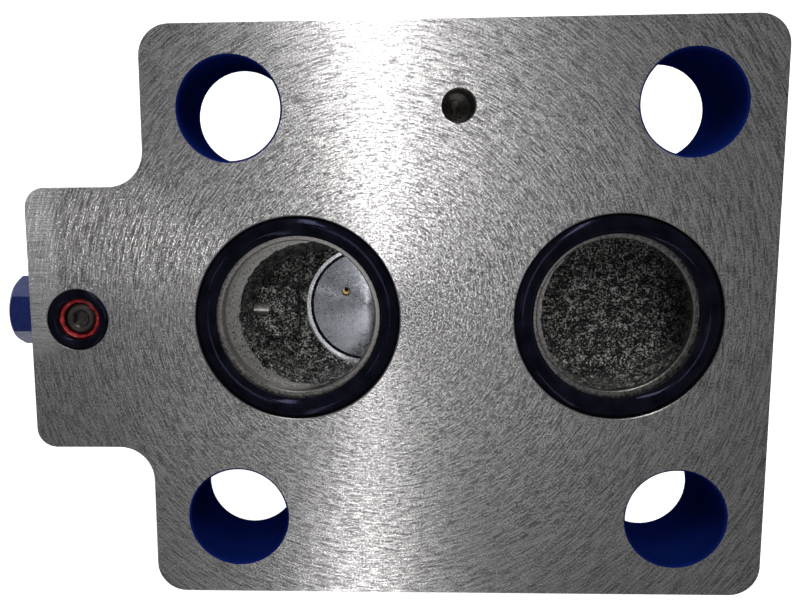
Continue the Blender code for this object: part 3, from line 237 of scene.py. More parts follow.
def sand_cast_iron():
    """The raw skin of a cored chamber: dark oxide with sand grains all over, their pale colour a
    painted sparkle and painted light for the chambers down behind the ports.
    """
    material, tree, shader = new_material("sand_cast_iron", (0.05, 0.048, 0.045), 0.4, 0.3)
    here = surface_point(tree)
    grains = add(tree, "TexVoronoi", {"Vector": here, "Scale": 1500})
    fine = noise(tree, here, 2400, 4, 0.7)
    coarse = noise(tree, here, 520, 3, 0.6)
    lumps = add(tree, "MapRange", {0: coarse, 1: 0.0, 2: 1.0, 3: 0.25, 4: 0.6}, clamp=True)
    lumps = add(tree, "Math", {0: fine, 1: lumps}, operation="ADD")
    shades = spread(tree, lumps, 0.94, 1.06, 0, 1)
    # Painted highlight: the grains' pale end, up to 0.62, stands in for sparkle and for light down in
    # the chambers.
    colour = mix_colours(tree, shades, (0.0015, 0.0015, 0.0015), (0.62, 0.61, 0.58))
    tree.links.new(colour, shader.inputs["Base Color"])
    tree.links.new(spread(tree, fine, 0.3, 0.7, 0.22, 0.5), shader.inputs["Roughness"])
    bump(tree, shader, add(tree, "Math", {0: lumps, 1: grains}, operation="ADD"), 0.35 * mm)
    return material


paint = blue_paint("blue_paint", 0.4, 0.3)
ground = ground_iron()
bored = bored_iron()
sand_cast = sand_cast_iron()


def hold(piece):
    """Leave just this piece selected and active."""
    bpy.ops.object.select_all(action="DESELECT")
    piece.select_set(True)
    bpy.context.view_layer.objects.active = piece


def name_new(name, material):
    """Name the primitive that was just added, and give it its finish."""
    piece = bpy.context.object
    piece.name = name
    piece.data.name = name
    piece.data.materials.append(material)
    return piece


def pick_edges(piece, wanted):
    """Open the piece in edit mode with the edges selected whose two ends pass the test."""
    hold(piece)
    bpy.ops.object.mode_set(mode="EDIT")
    bpy.ops.mesh.select_mode(type="EDGE")
    bpy.ops.mesh.select_all(action="DESELECT")
    bpy.ops.object.mode_set(mode="OBJECT")
    points = piece.data.vertices
    for edge in piece.data.edges:
        one, two = (points[i].co for i in edge.vertices)
        edge.select = bool(wanted(one, two))
    bpy.ops.object.mode_set(mode="EDIT")


def pick_faces(piece, wanted):
    """Open the piece in edit mode with the faces selected whose centre and normal pass."""
    hold(piece)
    bpy.ops.object.mode_set(mode="EDIT")
    bpy.ops.mesh.select_mode(type="FACE")
    bpy.ops.mesh.select_all(action="DESELECT")
    bpy.ops.object.mode_set(mode="OBJECT")
    for face in piece.data.polygons:
        face.select = bool(wanted(face.center, face.normal))
    bpy.ops.object.mode_set(mode="EDIT")


def close_edit():
    bpy.ops.object.mode_set(mode="OBJECT")


def block(name, low, high, material):
    """A block between two corners, with its place in its mesh."""
    low, high = Vector(low), Vector(high)
    bpy.ops.object.select_all(action="DESELECT")
    bpy.ops.mesh.primitive_cube_add(size=1, location=(low + high) / 2)
    piece = name_new(name, material)
    piece.scale = high - low
    bpy.ops.object.transform_apply(location=True, rotation=True, scale=True)
    return piece


def turned(name, outline, material, sides=96, ring=False):
    """Turn a piece on Z: a circle is extruded and resized along (radius, height) stations.
    A ring's outline comes back to its first station, and its last loop is merged with that."""
    first_r, first_z = outline[0]
    fill = "NOTHING" if ring else "NGON"
    bpy.ops.object.select_all(action="DESELECT")
    bpy.ops.mesh.primitive_circle_add(vertices=sides, radius=first_r, fill_type=fill)
    piece = name_new(name, material)
    bpy.ops.object.mode_set(mode="EDIT")
    bpy.ops.mesh.select_all(action="SELECT")
    bpy.ops.transform.translate(value=(0, 0, first_z))
    stations = outline[1:] + outline[:1] if ring else outline[1:]
    old_r, old_z = first_r, first_z
    for radius, z in stations:
        step = {"value": (0, 0, z - old_z)}
        if ring:
            bpy.ops.mesh.extrude_edges_move(TRANSFORM_OT_translate=step)
        else:
            bpy.ops.mesh.extrude_region_move(TRANSFORM_OT_translate=step)
        grow = radius / old_r
        bpy.ops.transform.resize(value=(grow, grow, 1), center_override=(0, 0, z))
        old_r, old_z = radius, z
    bpy.ops.mesh.select_all(action="SELECT")
    if ring:
        bpy.ops.mesh.remove_doubles(threshold=0.000001)
    bpy.ops.mesh.normals_make_consistent(inside=False)
    close_edit()
    return piece


def put(piece, place, turn=(0, 0, 0)):
    """Turn a piece that was made on Z by whole quarter turns, move it to its place, and apply."""
    piece.rotation_euler = [math.radians(angle) for angle in turn]
    piece.location = place
    hold(piece)
    bpy.ops.object.transform_apply(location=True, rotation=True, scale=True)
    return piece


def machine(work, tool, operation="DIFFERENCE"):
    """Cut the tool's shape from the work, or add it; new faces keep the tool's finish."""
    step = work.modifiers.new("machining", "BOOLEAN")
    step.object = tool
    step.operation = operation
    step.solver = "EXACT"
    step.material_mode = "TRANSFER"
    hold(work)
    bpy.ops.object.modifier_apply(modifier=step.name)
    bpy.data.objects.remove(tool)


def round_off(piece, radius, segments, wanted):
    """Bevel the edges that pass the test."""
    pick_edges(piece, wanted)
    bpy.ops.mesh.bevel(offset=radius, segments=segments, affect="EDGES", clamp_overlap=True)
    close_edit()


def smooth(piece, angle=32):
    hold(piece)
    bpy.ops.object.shade_smooth_by_angle(angle=math.radians(angle))


def near(one, two):
    return abs(one - two) < 0.02 * mm


def fit(piece, body, slot, *nodes):
    """The piece rides on a body and stands for its CAD nodes, which are hidden. The slot is not used.
    """
    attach(piece, body)
    if nodes:
        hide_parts(*nodes)


def upright(*places):
    """A test for upright edges that stand at one of the places."""
    def stands_there(one, two):
        for x, y in places:
            if all(near(end.x, x) and near(end.y, y) for end in (one, two)):
                return True
        return False

    return stands_there


def refinish(piece, material, wanted):
    """Give another finish to the faces whose centre and normal pass the test."""
    pick_faces(piece, wanted)
    piece.active_material_index = piece.data.materials.find(material.name)
    bpy.ops.object.material_slot_assign()
    close_edit()


body = block("body_casting", (-block_x, -block_y, -flange_depth), (block_x, block_y, 0), paint)
hold(body)
bpy.ops.object.mode_set(mode="EDIT")
for y in (tongue_y, -tongue_y):
    bpy.ops.mesh.select_all(action="SELECT")
    bpy.ops.mesh.bisect(plane_co=(0, y, 0), plane_no=(0, 1, 0))
close_edit()
pick_faces(body, lambda c, n: n.x < -0.9 and abs(c.y) < tongue_y)
bpy.ops.mesh.extrude_region_move(TRANSFORM_OT_translate={"value": (body_low.x + block_x, 0, 0)})
bpy.ops.mesh.select_all(action="SELECT")
bpy.ops.mesh.dissolve_limited(angle_limit=math.radians(1))
close_edit()
corners = [(x, y) for x in (-block_x, block_x) for y in (-block_y, block_y)]
round_off(body, 6 * mm, 10, upright(*corners))
round_off(body, 4 * mm, 8, upright((body_low.x, -tongue_y), (body_low.x, tongue_y)))
round_off(body, 7 * mm, 10, upright((-block_x, -tongue_y), (-block_x, tongue_y)))
round_off(body, 0.8 * mm, 3, lambda one, two: near(one.z, -flange_depth) and near(two.z, -flange_depth))

# The tower is cast in one with the flange and drawn in a little, so that it leaves the mould.
tower_start = (body_low.x + 1 * mm, -tower_y, body_low.z)
tower = block("tower", tower_start, (tower_x, tower_y, -flange_depth / 2), paint)
round_off(tower, 4 * mm, 8, lambda one, two: near(one.x, two.x) and near(one.y, two.y))
machine(body, tower, "UNION")
body.data.materials.append(ground)
body.data.materials.append(bored)
refinish(body, ground, lambda c, n: n.z > 0.9 and near(c.z, 0))
refinish(body, bored, lambda c, n: n.z < -0.9 and near(c.z, body_low.z))

# The chamber under port A leans in towards its floor, where a square pad was cast for the
# pilot drilling. The core for it left the coarse sand skin.
chamber = turned("chamber_a_core", [(15 * mm, 0), (15 * mm, 1 * mm)], sand_cast, 48)
put(chamber, (port_a_x + 2.3 * mm, 0, -6.2 * mm))
foot = turned("chamber_a_foot", [(12 * mm, 0), (12 * mm, 1 * mm)], sand_cast, 48)
put(foot, (port_a_x + 2.7 * mm, 0, -19 * mm))
end_top = turned("chamber_a_end", [(13.6 * mm, 0), (14.2 * mm, 12.8 * mm)], sand_cast, 48)
put(end_top, (cartridge_x, 0, -19 * mm))
hold(chamber)
foot.select_set(True)
end_top.select_set(True)
bpy.ops.object.join()
bpy.ops.object.mode_set(mode="EDIT")
bpy.ops.mesh.select_all(action="SELECT")
bpy.ops.mesh.convex_hull()
close_edit()
pad_low = (port_a_x - 15 * mm, -6.3 * mm, -22 * mm)
pad_high = (port_a_x - 1 * mm, 5.1 * mm, -15 * mm)
pad = block("chamber_a_pad", pad_low, pad_high, sand_cast)
machine(chamber, pad)


def roughen(tool, cell, height, grain):
    """Give a core its sand: even small faces, moved in and out by a cloud pattern."""
    even = tool.modifiers.new("even", "REMESH")
    even.mode = "VOXEL"
    even.voxel_size = cell
    sand = bpy.data.textures.new("sand", "CLOUDS")
    sand.noise_scale = grain
    sand.noise_depth = 3
    rough = tool.modifiers.new("rough", "DISPLACE")
    rough.texture = sand
    rough.strength = height
    rough.mid_level = 0.5
    hold(tool)
    bpy.ops.object.modifier_apply(modifier=even.name)
    bpy.ops.object.modifier_apply(modifier=rough.name)
    bpy.ops.object.shade_smooth()


cell = 0.45 * mm
roughen(chamber, cell, 0.9 * mm, 1.6 * mm)
machine(body, chamber)

# The chamber under port B is a plain round core with a rounded foot, open to the passage
# that comes from the cartridge.
chamber = turned("chamber_b_core", [
    (13.5 * mm, -21 * mm),
    (15.6 * mm, -20.2 * mm),
    (16.5 * mm, -18 * mm),
    (16.5 * mm, -4.6 * mm),
], sand_cast, 64)
put(chamber, (port_b_x + 2.3 * mm, 0, 0))
passage_x = cartridge_x + sleeve_r
passage_low = (passage_x, -12 * mm, -36 * mm)
passage_high = (passage_x + 19 * mm, 12 * mm, -13 * mm)
passage = block("passage_core", passage_low, passage_high, sand_cast)
roughen(chamber, cell, 0.9 * mm, 1.6 * mm)
machine(body, chamber)
machine(body, passage)

# Machining: seal seats, port bores, the cartridge bore and its annulus, all with tool marks.
for port_x, bore_depth in ((port_a_x, 6.7 * mm), (port_b_x, 5.3 * mm)):
    seat = turned("port_cutter", [
        (15.5 * mm, -bore_depth),
        (15.5 * mm, -3.1 * mm),
        (15.7 * mm, -2.9 * mm),
        (port_seat_r, -2.9 * mm),
        (port_seat_r, -0.2 * mm),
        (port_seat_r + 0.2 * mm, 0),
        (port_seat_r + 0.2 * mm, 1 * mm),
    ], bored, 144)
    put(seat, (port_x, 0, 0))
    machine(body, seat)
bore = turned("cartridge_cutter", [
    (13.2 * mm, -18 * mm),
    (13.2 * mm, -20.3 * mm),
    (17.3 * mm, -20.3 * mm),
    (17.3 * mm, -24 * mm),
    (19.3 * mm, -24 * mm),
    (19.3 * mm, -25.5 * mm),
    (22.3 * mm, -25.5 * mm),
    (22.3 * mm, -36 * mm),
    (19.3 * mm, -36 * mm),
    (19.3 * mm, -79 * mm),
], bored, 96)
put(bore, (cartridge_x, 0, 0))
machine(body, bore)

# The fixing holes were drilled before painting, so that dull blue overspray lies on their
# walls, and their spot faces under the flange were milled round them.
overspray = blue_paint("blue_overspray", 0.9, 0.0)
for x in (-bolt_x, bolt_x):
    for y in (-bolt_y, bolt_y):
        hole = turned("fixing_drill", [
            (bolt_hole_r, -flange_depth - 2 * mm),
            (bolt_hole_r, -0.4 * mm),
            (bolt_hole_r + 0.4 * mm, 0),
            (bolt_hole_r + 0.4 * mm, 1 * mm),
        ], overspray, 96)
        put(hole, (x, y, 0))
        machine(body, hole)
        spot = turned("spot_cutter", [
            (15.2 * mm, -22.7 * mm),
            (15.5 * mm, -23 * mm),
            (15.5 * mm, -79 * mm),
        ], bored, 64)
        put(spot, (x, y, 0))
        machine(body, spot)

# The locating hole is a plain blind drilling with the cone that the drill's point left.
locating = turned("locating_drill", [
    (0.05 * mm, -9.9 * mm),
    (3.2 * mm, -8 * mm),
    (3.2 * mm, -0.25 * mm),
    (3.4 * mm, 0),
    (3.4 * mm, 1 * mm),
], bored, 64)
put(locating, (0, bolt_y, 0))
machine(body, locating)

# Pilot drillings: the small seal seat on the tongue with its plugged bore, and the line
# that runs in from the end of the tongue to the pad in chamber A.
pilot_seat_cutter = turned("pilot_port_cutter", [
    (4.4 * mm, -16 * mm),
    (4.4 * mm, -1.35 * mm),
    (pilot_seat_r, -1.35 * mm),
    (pilot_seat_r, -0.1 * mm),
    (pilot_seat_r + 0.1 * mm, 0),
    (pilot_seat_r + 0.1 * mm, 1 * mm),
], bored, 72)
put(pilot_seat_cutter, (pilot_port_x, 0, 0))
machine(body, pilot_seat_cutter)
line = turned("pilot_line_drill", [
    (2.5 * mm, 0),
    (2.5 * mm, 28 * mm),
    (1.5 * mm, 28.5 * mm),
    (1.5 * mm, 47.5 * mm),
], bored, 32)
put(line, (body_low.x - 1 * mm, 0, pilot_line_z), (0, 90, 0))
machine(body, line)
smooth(body, 30)
pick_faces(body, lambda c, n: n.z > 0.999 and near(c.z, 0))
bpy.ops.mesh.faces_shade_flat()
close_edit()
fit(body, "valve", "body_paint", "valve_body")

# ---- Port seals -----------------------------------------------------------------------
# Three O-rings of black nitrile, moulded round and wiped with oil, lie in the seal seats and
# stand just proud enough to be squeezed when the valve is bolted down.
def nitrile():
    material, tree, shader = new_material("oiled_nitrile", (0.004, 0.004, 0.006), 0.14, 0)
    here = surface_point(tree)
    film = noise(tree, here, 260, 3)
    specks = noise(tree, here, 1900, 2)
    tree.links.new(spread(tree, film, 0.35, 0.65, 0.05, 0.13), shader.inputs["Roughness"])
    shades = spread(tree, film, 0.3, 0.7, 0, 1)
    colour = mix_colours(tree, shades, (0.002, 0.002, 0.004), (0.006, 0.006, 0.012))
    tree.links.new(colour, shader.inputs["Base Color"])
    shader.inputs["Specular IOR Level"].default_value = 0.07
    shader.inputs["Specular Tint"].default_value = (0.55, 0.58, 1.0, 1)
    height = add(tree, "Math", {0: film, 1: specks}, operation="ADD")
    bump(tree, shader, height, 0.03 * mm, 0.5)
    return material


rubber = nitrile()
for node, seat_r, wide in (
    ("port_a_seal", port_seat_r, 1.95 * mm),
    ("port_b_seal", port_seat_r, 1.95 * mm),
    ("pilot_port_seal", pilot_seat_r, 0.95 * mm),
):
    low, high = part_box(node)
    thick = (high.z - low.z) / 2
    section = []
    for step in range(24):
        angle = math.tau * (step + 0.5) / 24
        flash = 0.04 * mm if step in (11, 12, 23, 0) else 0
        reach = (wide + flash) * math.cos(angle)
        lift = max(thick * math.sin(angle), -0.86 * thick)
        section.append((seat_r - wide - 0.08 * mm + reach, lift))
    ring = turned(node + "_ring", section, rubber, 144, ring=True)
    put(ring, middle(node))
    smooth(ring, 50)
    fit(ring, "valve", "seal_rubber", node)

# ---- Pilot port plug ------------------------------------------------------------------
# A hexagon socket grub plug of black oxide steel closes the pilot bore. It is screwed in with
# red anaerobic sealant, which has been squeezed up round it in an uneven ring.
def steel(name, dark, light, roughness, axis_point=None, axis=(0, 0, 1), brushed=0.85):
    """Steel with faint scratches; about an axis it also gets the rings that turning leaves."""
    material, tree, shader = new_material(name, dark, roughness, 1)
    here = surface_point(tree)
    scuffs = noise(tree, here, 320, 4, 0.65)
    grain = noise(tree, here, 1700, 2)
    shades = spread(tree, scuffs, 0.3, 0.7, 0, 1)
    tree.links.new(mix_colours(tree, shades, dark, light), shader.inputs["Base Color"])
    low, high = roughness * 0.75, roughness * 1.3
    tree.links.new(spread(tree, grain, 0.3, 0.7, low, high), shader.inputs["Roughness"])
    height = grain
    if axis_point is not None:
        apart = add(tree, "VectorMath", {0: here, 1: axis_point}, operation="SUBTRACT")
        across = [1 - abs(part) for part in axis]
        flat = add(tree, "VectorMath", {0: apart, 1: across}, operation="MULTIPLY")
        outward = add(tree, "VectorMath", {0: flat}, operation="NORMALIZE")
        tree.links.new(outward, shader.inputs["Tangent"])
        shader.inputs["Anisotropic"].default_value = brushed
        length = tree.nodes.new("ShaderNodeVectorMath")
        length.operation = "LENGTH"
        tree.links.new(flat, length.inputs[0])
        along = add(tree, "VectorMath", {0: apart, 1: axis}, operation="MULTIPLY")
        rings_at = add(tree, "CombineXYZ", {"X": length.outputs["Value"]})
        rings_at = add(tree, "VectorMath", {0: rings_at, 1: along}, operation="ADD")
        height = noise(tree, rings_at, 3600, 2)
    bump(tree, shader, height, 0.01 * mm, 0.6)
    return material


def sealant():
    """Cured red sealant, glossy and lumpy."""
    material, tree, shader = new_material("red_sealant", (0.30, 0.012, 0.015), 0.3, 0)
    here = surface_point(tree)
    lumps = noise(tree, here, 900, 3)
    shades = spread(tree, lumps, 0.35, 0.65, 0, 1)
    colour = mix_colours(tree, shades, (0.10, 0.004, 0.006), (0.42, 0.02, 0.025))
    tree.links.new(colour, shader.inputs["Base Color"])
    tree.links.new(spread(tree, lumps, 0.3, 0.7, 0.2, 0.45), shader.inputs["Roughness"])
    bump(tree, shader, lumps, 0.12 * mm)
    return material


black_steel = steel("black_oxide", (0.030, 0.028, 0.028), (0.11, 0.10, 0.095), 0.36)
red = sealant()


def hexagon_tool(name, across, length, material):
    """A six-sided bar on Z that starts at the origin and runs down."""
    bpy.ops.object.select_all(action="DESELECT")
    corner = across / 2 / math.cos(math.radians(30))
    bpy.ops.mesh.primitive_cylinder_add(vertices=6, radius=corner, depth=length)
    bar = name_new(name, material)
    return put(bar, (0, 0, -length / 2))


def socketed(name, outline, across, depth, material, sides=64):
    """A turned piece whose top face lies at z = 0, with a hexagon socket sunk in it."""
    piece = turned(name, outline, material, sides)
    corner = across / 2 / math.cos(math.radians(30))
    mouth = turned("socket_mouth", [
        (across / 2, -0.35 * mm),
        (corner + 0.2 * mm, 0.05 * mm),
        (corner + 0.2 * mm, 0.5 * mm),
    ], material, 48)
    machine(piece, mouth)
    key = hexagon_tool("socket_key", across, depth + 1 * mm, material)
    key.location.z = 1 * mm
    machine(piece, key)
    return piece


low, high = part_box("pilot_port_plug")
plug_r = (high.x - low.x) / 2
length = high.z - low.z
plug = socketed("pilot_port_plug_steel", [
    (plug_r, -length),
    (plug_r, -0.7 * mm),
    (plug_r - 0.9 * mm, 0),
], 3.0 * mm, 2.6 * mm, black_steel, 72)
put(plug, ((low.x + high.x) / 2, (low.y + high.y) / 2, high.z))
smooth(plug, 25)
fit(plug, "valve", "black_steel", "pilot_port_plug")
low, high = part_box("pilot_port_sealant")
outer = (high.x - low.x) / 2
bead = turned("sealant_bead", [
    (outer + 0.25 * mm, 0),
    (outer - 0.75 * mm, 0),
    (outer - 0.75 * mm, 0.55 * mm),
    (outer - 0.3 * mm, 0.85 * mm),
    (outer + 0.1 * mm, 0.6 * mm),
], red, 120, ring=True)
squeezed = bead.modifiers.new("squeezed", "DISPLACE")
lumpy = bpy.data.textures.new("lumpy", "CLOUDS")
lumpy.noise_scale = 0.9 * mm
squeezed.texture = lumpy
squeezed.strength = 0.35 * mm
hold(bead)
bpy.ops.object.modifier_apply(modifier=squeezed.name)
put(bead, ((low.x + high.x) / 2, 0, high.z - 0.3 * mm))
smooth(bead, 60)
fit(bead, "valve", "thread_sealant", "pilot_port_sealant")

# ---- Side plug ------------------------------------------------------------------------
# A forged hexagon-head plug with a socket closes the pilot line at the end of the tongue. It
# was painted over with the body and sits on a soft copper washer.
def metal(name, dark, light, roughness, metallic=1.0):
    """A plain metal or coating with soft blotches, fine grain and faint dents."""
    material, tree, shader = new_material(name, dark, roughness, metallic)
    here = surface_point(tree)
    blotches = noise(tree, here, 140, 4, 0.6)
    grain = noise(tree, here, 1300, 3)
    shades = spread(tree, blotches, 0.3, 0.7, 0, 1)
    tree.links.new(mix_colours(tree, shades, dark, light), shader.inputs["Base Color"])
    low, high = roughness * 0.7, roughness * 1.35
    tree.links.new(spread(tree, grain, 0.3, 0.7, low, high), shader.inputs["Roughness"])
    bump(tree, shader, add(tree, "Math", {0: blotches, 1: grain}, operation="ADD"), 0.02 * mm)
    return material


copper = metal("copper_washer", (0.45, 0.19, 0.11), (0.72, 0.36, 0.24), 0.34)


def hexagon_head(name, across, height, material):
    """A hexagon head on Z from the origin up, with its corners turned off at both ends."""
    head = hexagon_tool(name, across, height, material)
    put(head, (0, 0, height))
    corner = across / 2 / math.cos(math.radians(30))
    sphere = turned("chamfer_form", [
        (across / 2 * 0.96, 0),
        (corner + 0.05 * mm, height * 0.14),
        (corner + 0.05 * mm, height * 0.86),
        (across / 2 * 0.96, height),
    ], material, 72)
    machine(head, sphere, "INTERSECT")
    return head


def washer(name, node, material, body, slot, axis, sides=96):
    """A flat washer with eased edges, made to its CAD node's box and laid on its axis."""
    low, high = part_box(node)
    size = high - low
    thick = min(size)
    outer = max(size) / 2
    inner = outer * 0.69
    ease = thick * 0.22
    ring = turned(name, [
        (inner, 0),
        (outer - ease, 0),
        (outer, ease),
        (outer, thick - ease),
        (outer - ease, thick),
        (inner, thick),
    ], material, sides, ring=True)
    centre = (low + high) / 2
    if axis == "X":
        put(ring, (low.x, centre.y, centre.z), (0, 90, 0))
    else:
        put(ring, (centre.x, high.y, centre.z), (90, 0, 0))
    smooth(ring, 30)
    fit(ring, body, slot, node)


low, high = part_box("side_plug")
washer_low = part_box("side_plug_washer")[0]
under_head_x = washer_low.x - 0.3 * mm
head_height = under_head_x - low.x
plug = hexagon_head("side_plug_steel", 13 * mm, head_height, paint)
mouth = hexagon_tool("side_plug_key", 5 * mm, 5 * mm, black_steel)
put(mouth, (0, 0, head_height + 1 * mm))
machine(plug, mouth)
shank = turned("side_plug_shank", [(4.7 * mm, -8.6 * mm), (4.7 * mm, 1 * mm)], black_steel, 48)
machine(plug, shank, "UNION")
put(plug, (under_head_x, 0, pilot_line_z), (0, -90, 0))
smooth(plug, 25)
fit(plug, "valve", "body_paint", "side_plug")
washer("side_washer_copper", "side_plug_washer", copper, "valve", "copper", "X")

# ---- Cartridge ------------------------------------------------------------------------
# A ground steel sleeve with six flow holes is pressed up behind port A. The cup-shaped poppet
# inside it was turned from hardened bar: its nose is faced, and a jet passes through it.
cartridge_axis = (cartridge_x, 0, 0)
sleeve_steel = steel("ground_sleeve", (0.38, 0.39, 0.41), (0.60, 0.61, 0.63), 0.24, cartridge_axis)
# Painted shade: the nose's steel is coloured darker than the sleeve's, for the nose that sits deep down
# in port A.
nose_shaded_dark, nose_shaded_pale = (0.17, 0.178, 0.195), (0.26, 0.27, 0.295)
nose_steel = steel("faced_nose", nose_shaded_dark, nose_shaded_pale, 0.22, cartridge_axis, brushed=0.95)
flow_hole_r = 3.4 * mm
flow_hole_z = -28.3 * mm
sleeve = turned("sleeve_steel", [
    (12.4 * mm, -20.6 * mm),
    (16.6 * mm, -20.6 * mm),
    (17 * mm, -21 * mm),
    (17 * mm, -21.2 * mm),
    (15.6 * mm, -21.3 * mm),
    (15.6 * mm, -22.9 * mm),
    (17 * mm, -23 * mm),
    (17 * mm, -24.3 * mm),
    (19 * mm, -24.3 * mm),
    (19 * mm, -44 * mm),
    (17.2 * mm, -44 * mm),
    (17.2 * mm, -47.2 * mm),
    (19 * mm, -47.2 * mm),
    (19 * mm, -77.5 * mm),
    (18.5 * mm, -78 * mm),
    (13.05 * mm, -78 * mm),
    (13.05 * mm, -32.5 * mm),
    (14.5 * mm, -32.5 * mm),
    (14.5 * mm, -23.3 * mm),
    (12.4 * mm, -21.2 * mm),
], sleeve_steel, 96, ring=True)
for i in range(3):
    hole = turned("flow_drill", [(flow_hole_r, -25 * mm), (flow_hole_r, 25 * mm)], sleeve_steel, 32)
    hole.rotation_euler = (0, math.radians(90), math.radians(30 + 60 * i))
    hole.location.z = flow_hole_z
    machine(sleeve, hole)
put(sleeve, cartridge_axis)
smooth(sleeve, 30)
fit(sleeve, "valve", "hardened_steel", "cartridge_sleeve")

low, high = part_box("main_poppet")
poppet = turned("poppet_steel", [
    (0.3 * mm, high.z + 0.35 * mm),
    (11.75 * mm, high.z),
    (12 * mm, high.z - 0.25 * mm),
    (12 * mm, high.z - 0.5 * mm),
    (12.75 * mm, high.z - 1.2 * mm),
    (12.75 * mm, high.z - 14 * mm),
    (12.5 * mm, high.z - 14.2 * mm),
    (12.5 * mm, high.z - 15 * mm),
    (12.75 * mm, high.z - 15.2 * mm),
    (12.75 * mm, low.z + 0.4 * mm),
    (12.35 * mm, low.z),
    (9.5 * mm, low.z),
    (9.5 * mm, high.z - 6.2 * mm),
], nose_steel, 144)
orifice = turned("orifice_drill", [
    (0.75 * mm, high.z - 8 * mm),
    (0.75 * mm, high.z),
    (1.0 * mm, high.z + 0.25 * mm),
    (1.0 * mm, high.z + 2 * mm),
], nose_steel, 32)
put(orifice, (-4.5 * mm, 3 * mm, 0))
machine(poppet, orifice)
put(poppet, cartridge_axis)
smooth(poppet, 20)
fit(poppet, "poppet", "hardened_steel", "main_poppet")

# ---- Cartridge inner parts ------------------------------------------------------------
# The jet, spring, O-rings and backup ring inside the cartridge are bought-in parts that keep
# their plain shapes: brass, drawn spring wire, nitrile and white PTFE.
brass = metal("turned_brass", (0.45, 0.30, 0.09), (0.72, 0.52, 0.22), 0.3)
spring_wire = metal("spring_wire", (0.14, 0.15, 0.17), (0.32, 0.33, 0.36), 0.34)
ptfe = metal("ptfe_ring", (0.60, 0.58, 0.50), (0.80, 0.78, 0.70), 0.5, 0.0)


def dress(node, material):
    """Give a CAD node that is shown as it is its own finish."""
    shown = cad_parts[node]
    shown.data.materials.clear()
    shown.data.materials.append(material)


dress("poppet_jet", brass)
dress("supply_jet", brass)
dress("main_spring", spring_wire)
dress("pilot_spring", spring_wire)
dress("sleeve_backup_ring", ptfe)
for node in ("sleeve_nose_seal", "sleeve_upper_seal"):
    dress(node, rubber)
for joint in ("main", "pilot", "drain"):
    dress(f"joint_seal_{joint}", rubber)

# ---- Pilot head -----------------------------------------------------------------------
# A second iron casting, milled square on all its joint faces and painted with the body. Four
# sunk screws hold it under the tower, and the pilot bore runs through it lengthwise.
low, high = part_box("pilot_housing")
axis_z = -103 * mm
head = block("head_casting", low, high, paint)
round_off(head, 3 * mm, 6, lambda one, two: near(one.x, two.x) and near(one.y, two.y))
round_off(head, 0.8 * mm, 3, lambda one, two: near(one.z, two.z))
head.data.materials.append(bored)
refinish(head, bored, lambda c, n: abs(n.z) > 0.99)
pilot_bore = turned("pilot_bore_tool", [
    (5.0 * mm, -67 * mm),
    (5.0 * mm, -56 * mm),
    (3.0 * mm, -56 * mm),
    (3.0 * mm, -41.5 * mm),
    (2.0 * mm, -41.5 * mm),
    (2.0 * mm, -22 * mm),
    (6.0 * mm, -22 * mm),
    (6.0 * mm, -10 * mm),
    (8.5 * mm, -10 * mm),
    (8.5 * mm, 20 * mm),
    (10.0 * mm, 20 * mm),
    (10.0 * mm, 43 * mm),
], bored, 64)
put(pilot_bore, (0, 0, axis_z), (0, 90, 0))
machine(head, pilot_bore)
gauge_x = -30 * mm
gauge_bore = turned("gauge_bore_tool", [
    (1.5 * mm, 0),
    (1.5 * mm, 11.8 * mm),
    (5.0 * mm, 11.8 * mm),
    (5.0 * mm, 25.5 * mm),
], bored, 48)
put(gauge_bore, (gauge_x, 0, axis_z), (-90, 0, 0))
machine(head, gauge_bore)
for i in (1, 2, 3, 4):
    screw_place = middle(f"head_screw_{i}")
    sunk = turned("screw_counterbore", [
        (7.3 * mm, low.z - 1 * mm),
        (7.3 * mm, low.z),
        (7.0 * mm, low.z + 0.3 * mm),
        (7.0 * mm, low.z + 10 * mm),
        (4.3 * mm, low.z + 10 * mm),
        (4.3 * mm, high.z + 1 * mm),
    ], bored, 64)
    put(sunk, (screw_place.x, screw_place.y, 0))
    machine(head, sunk)
smooth(head, 30)
fit(head, "valve", "body_paint", "pilot_housing")

# ---- Head screws ----------------------------------------------------------------------
# Four M8 socket-head cap screws of black oxide steel, with straight knurling rolled round
# their heads; only the heads and shanks are seen down the counterbores.
shank_r = 4.0 * mm
screw_head_r = 6.5 * mm
screw_head_height = 8 * mm


def on_the_knurl(centre, normal):
    """Whether a face is on the rim of the screw's head, clear of the plain band below it."""
    out = Vector((centre.x, centre.y)).length
    return abs(normal.z) < 0.1 and out > screw_head_r - 0.2 * mm and centre.z > -7 * mm


for i in (1, 2, 3, 4):
    low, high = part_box(f"head_screw_{i}")
    screw = socketed(f"head_screw_{i}_steel", [
        (shank_r, -screw_head_height),
        (screw_head_r - 0.2 * mm, -screw_head_height),
        (screw_head_r, -screw_head_height + 0.2 * mm),
        (screw_head_r, -0.6 * mm),
        (screw_head_r - 0.6 * mm, 0),
    ], 6 * mm, 4 * mm, black_steel, 72)
    pick_faces(screw, on_the_knurl)
    bpy.ops.mesh.inset(thickness=0.09 * mm, depth=-0.08 * mm, use_individual=True)
    close_edit()
    screw_length = high.z - low.z
    shank = turned("screw_shank", [
        (shank_r - 0.5 * mm, 0),
        (shank_r, 0.6 * mm),
        (shank_r, screw_length - screw_head_height + 0.1 * mm),
    ], black_steel, 32)
    put(shank, (0, 0, -screw_length))
    machine(screw, shank, "UNION")
    put(screw, ((low.x + high.x) / 2, (low.y + high.y) / 2, low.z), (180, 0, 0))
    smooth(screw, 25)
    fit(screw, "valve", "black_steel", f"head_screw_{i}")

